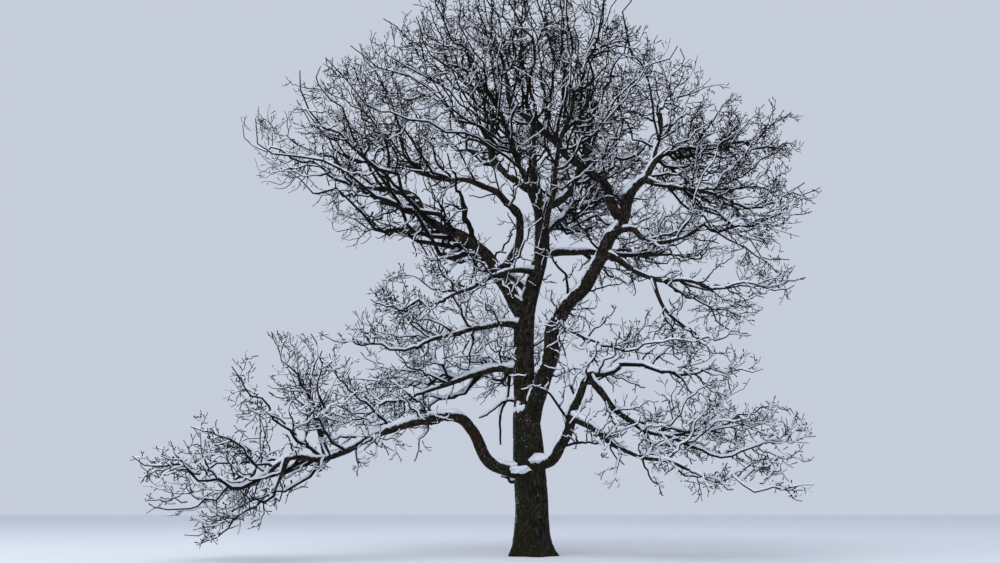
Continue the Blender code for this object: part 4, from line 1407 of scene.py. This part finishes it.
def finds_light(twig, level):
    """Whether a twig lives: half of those in a window die, and the rest need room in the air around them."""
    _, middle = seen_on_trunk(twig.points[[0, len(twig.points) // 2]])
    in_gap = any(left < middle[0] < right and low < middle[2] < high for left, right, low, high in SKY_GAPS)
    if in_gap and random.Random(twig.key + "/gap").random() > GAP_SHARE:
        return False
    size, most = CROWD_CELLS[level]
    cell = (level, *np.floor(twig.points.mean(axis=0) / size).astype(int))
    crowd[cell] = crowd.get(cell, 0) + 1
    return crowd[cell] <= most


print(len(SKY_GAPS), "windows of sky")

# %% [markdown]
# Now every spray is grown, size by size, and each twig is kept under its limb's name so that it can be
# skinned with its neighbours. A recursion would be shorter, but three loops show the three sizes.

# %% Growing every spray
FIRST_FINER = 2
OWN_LIMB_CLEAR = 0.12


def twig_lives(twig, place, first_count):
    """Whether a twig lives: the solids' own do, later ones need light, those of side sprays room as well."""
    lit = finds_light(twig, 1)
    if place >= first_count and not lit:
        return False
    return first_count > 0 or not touches_limb(twig.points, OWN_LIMB_CLEAR)


grown = {0: [], 1: [], 2: [], 3: []}
for limb, stem, space, first_count in sprays:
    grown[0].append((limb, stem))
    if space is None:
        continue
    count = max(count_on(limb, stem, 0), first_count)
    for place, twig in enumerate(side_twigs(stem, 0, count, first_count, space)):
        if not twig_lives(twig, place, first_count):
            continue
        grown[1].append((limb, twig))
        for place, finer in enumerate(side_twigs(twig, 1, count_on(limb, twig, 1), FIRST_FINER, space)):
            if not finds_light(finer, 2) and place >= FIRST_FINER:
                continue
            grown[2].append((limb, finer))
            for spur in side_twigs(finer, 2, count_on(limb, finer, 2), 0, space):
                grown[3].append((limb, spur))
print("stems, twigs, finer twigs, spurs:", [len(grown[level]) for level in grown])

# %% [markdown]
# A straight chord between two bends is too stiff for a twig, so each is split again: new points are set
# in between, off to one side by chance and a little below, which makes every twig sag and then sweep up
# to its tip. A curve tool would smooth the kinks away that an oak twig is known by.

# %% Bending the twigs
KINK = 0.085
SAG = 0.070


def bent(twig, splits):
    """The twig's line with points set in on a curve through its bends, then kinked and sagging."""
    dice = np.random.default_rng(zlib.crc32(twig.key.encode()))
    points, radii = twig.points, twig.radii
    for _ in range(splits):
        steps = points[1:] - points[:-1]
        spans = np.linalg.norm(steps, axis=1, keepdims=True)
        padded = np.vstack((2 * points[0] - points[1], points, 2 * points[-1] - points[-2]))
        middles = (9 * (points[1:] + points[:-1]) - padded[:-3] - padded[3:]) / 16
        middles += dice.normal(0, KINK, steps.shape) * spans
        middles[:, 2:] -= SAG * spans
        mixed = np.empty((len(points) + len(middles), 3))
        mixed[0::2], mixed[1::2] = points, middles
        widths = np.empty(len(mixed))
        widths[0::2], widths[1::2] = radii, 0.5 * (radii[1:] + radii[:-1])
        points, radii = mixed, widths
    return points, radii


print("a chord of a metre sags by", SAG, "m")

# %% [markdown]
# Thousands of twigs can't each be an object, and one mesh of them all is too heavy to handle. They are
# joined by part of the crown and by size, and a mesh that would pass the limit is divided.

# %% Skinning lines into pieces
MOST_TRIANGLES = 190000
REGIONS = {
    "low_left": ("low_left", "low_left_rise", "low_left_drop"),
    "mid_left": ("mid_left", "upper_mid_left", "crossing_left"),
    "upper_left": ("left_leader", "left_leader_up"),
    "top": ("trunk", "upper_left", "centre_right", "leader_left"),
    "right": ("right_leader", "leader_right", "leader_up", "right_tip", "right_mid", "right_low",
              "right_drop"),
    "low_right": ("mid_right", "low_right", "low_right_out", "low_right_under"),
    "back": ("back_left", "back_high", "back_right", "back_low", "right_back"),
    "front": ("front_high", "front_left"),
}
REGION_OF = {limb: region for region, limbs in REGIONS.items() for limb in limbs}


def joined(chunks):
    """Many meshes as one: points and triangles."""
    offsets = np.cumsum([0] + [len(points) for points, _ in chunks[:-1]])
    return (np.concatenate([points for points, _ in chunks]),
            np.concatenate([triangles + offset for (_, triangles), offset in zip(chunks, offsets)]))


def skinned(lines, sides):
    """Tubes round lines with radii, made together where they have as many points, in handy chunks."""
    by_count = {}
    for points, radii in lines:
        by_count.setdefault(len(points), []).append((points, radii))
    chunks = []
    for count, group in by_count.items():
        step = max(1, MOST_TRIANGLES // len(ring_triangles(1, count, sides)))
        for start in range(0, len(group), step):
            chunks.append(tubes(*zip(*group[start:start + step]), sides))
    return chunks


def packed(chunks):
    """Chunks dealt out to pieces that stay under the limit."""
    pieces = [[]]
    for chunk in chunks:
        size = sum(len(triangles) for _, triangles in pieces[-1] + [chunk])
        if pieces[-1] and size > MOST_TRIANGLES:
            pieces.append([])
        pieces[-1].append(chunk)
    return pieces


def region_pieces(label, lines_by_region, sides, material, slot):
    """Skins each region's lines and joins them into pieces."""
    made = {}
    total = 0
    for region, lines in lines_by_region.items():
        pieces = packed(skinned(lines, sides))
        for number, chunks in enumerate(pieces):
            points, triangles = joined(chunks)
            name = f"{label}_{region}" + (f"_{number + 1}" if len(pieces) > 1 else "")
            made.setdefault(region, []).append(mesh_piece(name, points, triangles, material, slot))
            total += len(triangles)
    print(label + ":", total, "triangles")
    return made


print(len(REGIONS), "parts of the crown")

# %% [markdown]
# The thicker a twig, the rounder it has to be: branchlets get five sides, the rest three. Spurs stay
# straight and end thicker than they start, because the buds of this oak sit in fat clusters at the tips.

# %% Branchlets, twigs, finer twigs and spurs
SPLITS = {0: 2, 1: 2, 2: 2, 3: 0}
SPUR_RADII = (0.0050, 0.0110)
TWIG_PIECES = (
    ("branchlets", 5, "damp_branchlet_bark"),
    ("twigs", 3, "damp_branchlet_bark"),
    ("fine_twigs", 3, "dark_twig_bark"),
    ("spurs", 3, "spur_bark"),
)

bent_lines = {}
for level, (label, sides, bark) in enumerate(TWIG_PIECES):
    by_region = {region: [] for region in REGIONS}
    for limb, twig in grown[level]:
        if label == "spurs":
            twig = twig._replace(radii=np.array(SPUR_RADII))
        by_region[REGION_OF[limb]].append(bent(twig, SPLITS[level]))
    bent_lines[level] = by_region
    region_pieces(label, by_region, sides, twig_barks[bark], "twigs")
for name, mass in MASSES.items():
    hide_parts("twigs_" + name)
print(len(MASSES), "twig masses replaced")

# %% [markdown]
# Fresh snow has settled on this oak from the upper left and the front. It lies as a soft ridge along
# every limb that is flat enough to hold it, thick on the low limbs and thin high up, broken where a limb
# steepens or where a lump has slid off, and heaped in the forks. A white top painted on the bark would
# have no thickness, so the snow is its own closed skin: a crescent carried along each limb, with its
# lower edge sunk into the bark.

# %% Where snow comes from
SNOW_FROM = unit(np.array((-0.38, -0.12, 1.00)))
HOLDS_SNOW = (0.35, 0.95)
LEAST_LENGTH = 1e-6


def smooth_step(low, high, value):
    """0 below low, 1 above high, and a soft rise between them."""
    t = np.clip((value - low) / (high - low), 0.0, 1.0)
    return t * t * (3 - 2 * t)


def towards_snow(lines):
    """At every point: the way up across the limb, the way sideways, and how flat the limb lies."""
    tangents = np.gradient(lines, axis=-2)
    tangents /= np.linalg.norm(tangents, axis=-1, keepdims=True)
    leaning = tangents @ SNOW_FROM
    up = SNOW_FROM - tangents * leaning[..., None]
    up /= np.maximum(np.linalg.norm(up, axis=-1, keepdims=True), LEAST_LENGTH)
    return up, np.cross(tangents, up), np.sqrt(np.maximum(1.0 - leaning**2, 0.0))


print("snow falls", round(math.degrees(math.acos(SNOW_FROM[2]))), "degrees off the upright")

# %% [markdown]
# How deep it lies follows from how flat the limb is there, from patches where some has slid off, from the
# height, from the limb's girth and from the fork at the limb's foot, where it gathers.

# %% How deep the snow lies on a limb
SNOW_DEPTH = 0.048
SNOW_FADE = ((3.0, 1.0), (6.5, 0.62), (10.0, 0.40))
SNOW_PATCH = 0.30
PATCHY = (0.85, 1.3)
THINNEST_SNOW = 0.009
FORK_HEAP = 0.9
FORK_RADII = 1.8
FORK_LENGTH = 0.16
FULL_SNOW_GIRTH = 0.06
GIRTH_RANGE = (0.45, 1.15)


def snow_depth(name, marks, spine, girth, flat, shift):
    """The depth of the snow along a limb: nothing where less would lie than the thinnest that stays."""
    patches = np.array([noise.noise(Vector((mark / SNOW_PATCH, shift, 0.0))) for mark in marks])
    holding = smooth_step(*HOLDS_SNOW, flat) * np.clip(PATCHY[0] + PATCHY[1] * patches, 0.0, PATCHY[1])
    if name != "trunk":
        holding = holding + FORK_HEAP * np.exp(-((marks - girth * FORK_RADII) / FORK_LENGTH) ** 2)
    fade = np.interp(spine[:, 2], *zip(*SNOW_FADE))
    depth = SNOW_DEPTH * holding * fade * np.clip(girth / FULL_SNOW_GIRTH, *GIRTH_RANGE)
    return np.maximum(depth - THINNEST_SNOW, 0.0)


print("snow is up to", SNOW_DEPTH, "m deep on a flat low limb, and deeper in its fork")

# %% [markdown]
# The crescent is five points over the top, from edge to edge, and two below them in the bark. Each wanders
# a little with a noise, so that no edge runs straight.

# %% Ridges of snow
SNOW_STEP = 0.045
SNOW_LUMP = 0.075
SNOW_TOP = (-1.0, -0.55, 0.0, 0.55, 1.0)
SNOW_UNDER = (0.5, -0.5)
SNOW_EDGE = math.radians(78)
STEEP_EDGE_SHARE = 0.25
FULL_EDGE = (0.45, 1.0)
FEWEST_MARKS = 4
SHORTEST_RUN = 3
LUMP_SPREAD = 1.3
EDGE_LUMPS = 0.30
TOP_LUMPS = 0.35
SUNK = {"edge": 0.96, "top": 1.03, "under": 0.85}
TOP_ROUNDNESS = 0.6


def snow_crescent(spine, girth, up, across, edge, depth, marks, shift):
    """The crescent's seven points at every mark along a limb."""
    rings = []
    for turn in SNOW_TOP:
        places = [Vector((mark / SNOW_LUMP, turn * LUMP_SPREAD, shift)) for mark in marks]
        lumps = np.array([noise.noise(place) for place in places])
        angle = edge * turn * (1.0 + EDGE_LUMPS * lumps)
        reach = girth * SUNK["edge" if abs(turn) == 1.0 else "top"]
        reach = reach + depth * math.cos(turn * math.pi / 2) ** TOP_ROUNDNESS * (1.0 + TOP_LUMPS * lumps)
        rings.append((angle, reach))
    rings += [(edge * turn, girth * SUNK["under"]) for turn in SNOW_UNDER]
    return np.stack([spine + (up * np.cos(angle)[:, None] + across * np.sin(angle)[:, None]) * reach[:, None]
                     for angle, reach in rings], axis=1)


def snow_ridges(name, line, radii):
    """The runs of snow on one limb: points and triangles."""
    along = lengths_along(line)
    count = max(FEWEST_MARKS, round(along[-1] / SNOW_STEP))
    marks = np.linspace(0.0, along[-1], count)
    spine = np.stack([np.interp(marks, along, line[:, axis]) for axis in range(3)], axis=1)
    girth = np.interp(marks, along, radii)
    up, across, flat = towards_snow(spine)
    shift = own_place(name, places=613, spacing=0.7)
    depth = snow_depth(name, marks, spine, girth, flat, shift)
    edge = SNOW_EDGE * (STEEP_EDGE_SHARE + (1 - STEEP_EDGE_SHARE) * smooth_step(*FULL_EDGE, flat))
    rings = snow_crescent(spine, girth, up, across, edge, depth, marks, shift)
    runs = []
    start = None
    for k in range(count + 1):
        lying = k < count and depth[k] > 0
        if lying and start is None:
            start = k
        if not lying and start is not None:
            if k - start >= SHORTEST_RUN:
                runs.append((rings[start:k].reshape(-1, 3), ring_triangles(1, k - start, rings.shape[1])))
            start = None
    return runs


print("each ridge has", len(SNOW_TOP + SNOW_UNDER), "points round it")

# %% [markdown]
# In the two lowest forks more snow has gathered than a ridge can show, so a lump lies in each: a ball
# pressed to size, whose skin is made uneven by noises of three sizes.

# %% Heaps in the forks, and the snow on the limbs
HEAP_TURNS = 36
HEAP_RINGS = 20
HEAP_LIFT = 1.5
HEAPS = (
    ((-0.19, -0.09, 2.72), (0.11, 0.12, 0.19)),
    ((-0.20, -0.27, 1.54), (0.20, 0.11, 0.070)),
)
HEAP_LUMPS = ((1.7, 0.50), (4.0, 0.30), (9.0, 0.14))


def heap(place, size):
    """A lump of snow caught in a fork: a ball pressed to size, with an uneven skin."""
    turns = np.linspace(0.0, 2 * math.pi, HEAP_TURNS, endpoint=False)
    lifts = np.linspace(-HEAP_LIFT, HEAP_LIFT, HEAP_RINGS)
    ways = np.array([(math.cos(turn) * math.cos(lift), math.sin(turn) * math.cos(lift), math.sin(lift))
                     for lift in lifts for turn in turns])
    lumps = sum(share * np.array([noise.noise(Vector(way * scale + place)) for way in ways])
                for scale, share in HEAP_LUMPS)
    return place + ways * size * (1.0 + lumps)[:, None], ring_triangles(1, HEAP_RINGS, HEAP_TURNS)


ridges = [heap(np.array(place), np.array(size)) for place, size in HEAPS]
for name, (line, radii) in fine_limbs.items():
    ridges += snow_ridges(name, line, radii)
snow_on_limbs = mesh_piece("snow_on_limbs", *joined(ridges), lying_snow, None)
print(len(ridges), "ridges of snow on the limbs,", len(snow_on_limbs.data.polygons), "triangles")

# %% [markdown]
# On the twigs the snow is a thin ridge riding on the upper side, about as wide as the twig itself. Low
# twigs nearly all carry it; high in the crown, where the wind shakes them, fewer do.

# %% Snow on the twigs
SNOWED_SHARE = ((2.0, 0.92), (5.0, 0.80), (8.0, 0.58), (11.0, 0.36))
TWIG_SNOW = ((2.5, 0.0100), (5.5, 0.0065), (9.0, 0.0045))
TWIG_HOLDS_SNOW = (0.25, 0.80)
RIDGE_ENDS = (0.12, 0.88)
RIDGE_WIDTH = 0.75
LEAST_WIDTH = 0.15
RIDGE_SEAT = (0.62, 0.45)
SNOWED_PIECES = (("snow_on_branchlets", 4, 1.0), ("snow_on_twigs", 3, 0.95), ("snow_on_fine_twigs", 3, 0.60))


def snow_lines(lines, snowed, key):
    """The ridges on one region's twigs of one size, as lines and radii."""
    dice = np.random.default_rng(zlib.crc32(key.encode()))
    ridges = []
    for points, radii in lines:
        height = points[:, 2].mean()
        if dice.random() > np.interp(height, *zip(*SNOWED_SHARE)) * snowed:
            continue
        up, _, flat = towards_snow(points)
        holding = smooth_step(*TWIG_HOLDS_SNOW, flat)
        ends = np.sin(np.pi * np.linspace(*RIDGE_ENDS, len(points))) ** 0.5
        depth = np.interp(height, *zip(*TWIG_SNOW))
        width = (radii * RIDGE_WIDTH + depth) * holding * ends + radii * LEAST_WIDTH
        raised = radii * RIDGE_SEAT[0] * holding + width * RIDGE_SEAT[1]
        ridges.append((points + up * raised[:, None], width))
    return ridges


for level, (label, sides, snowed) in enumerate(SNOWED_PIECES):
    ridges = {region: snow_lines(lines, snowed, f"{label}/{region}")
              for region, lines in bent_lines[level].items()}
    region_pieces(label, ridges, sides, lying_snow, None)
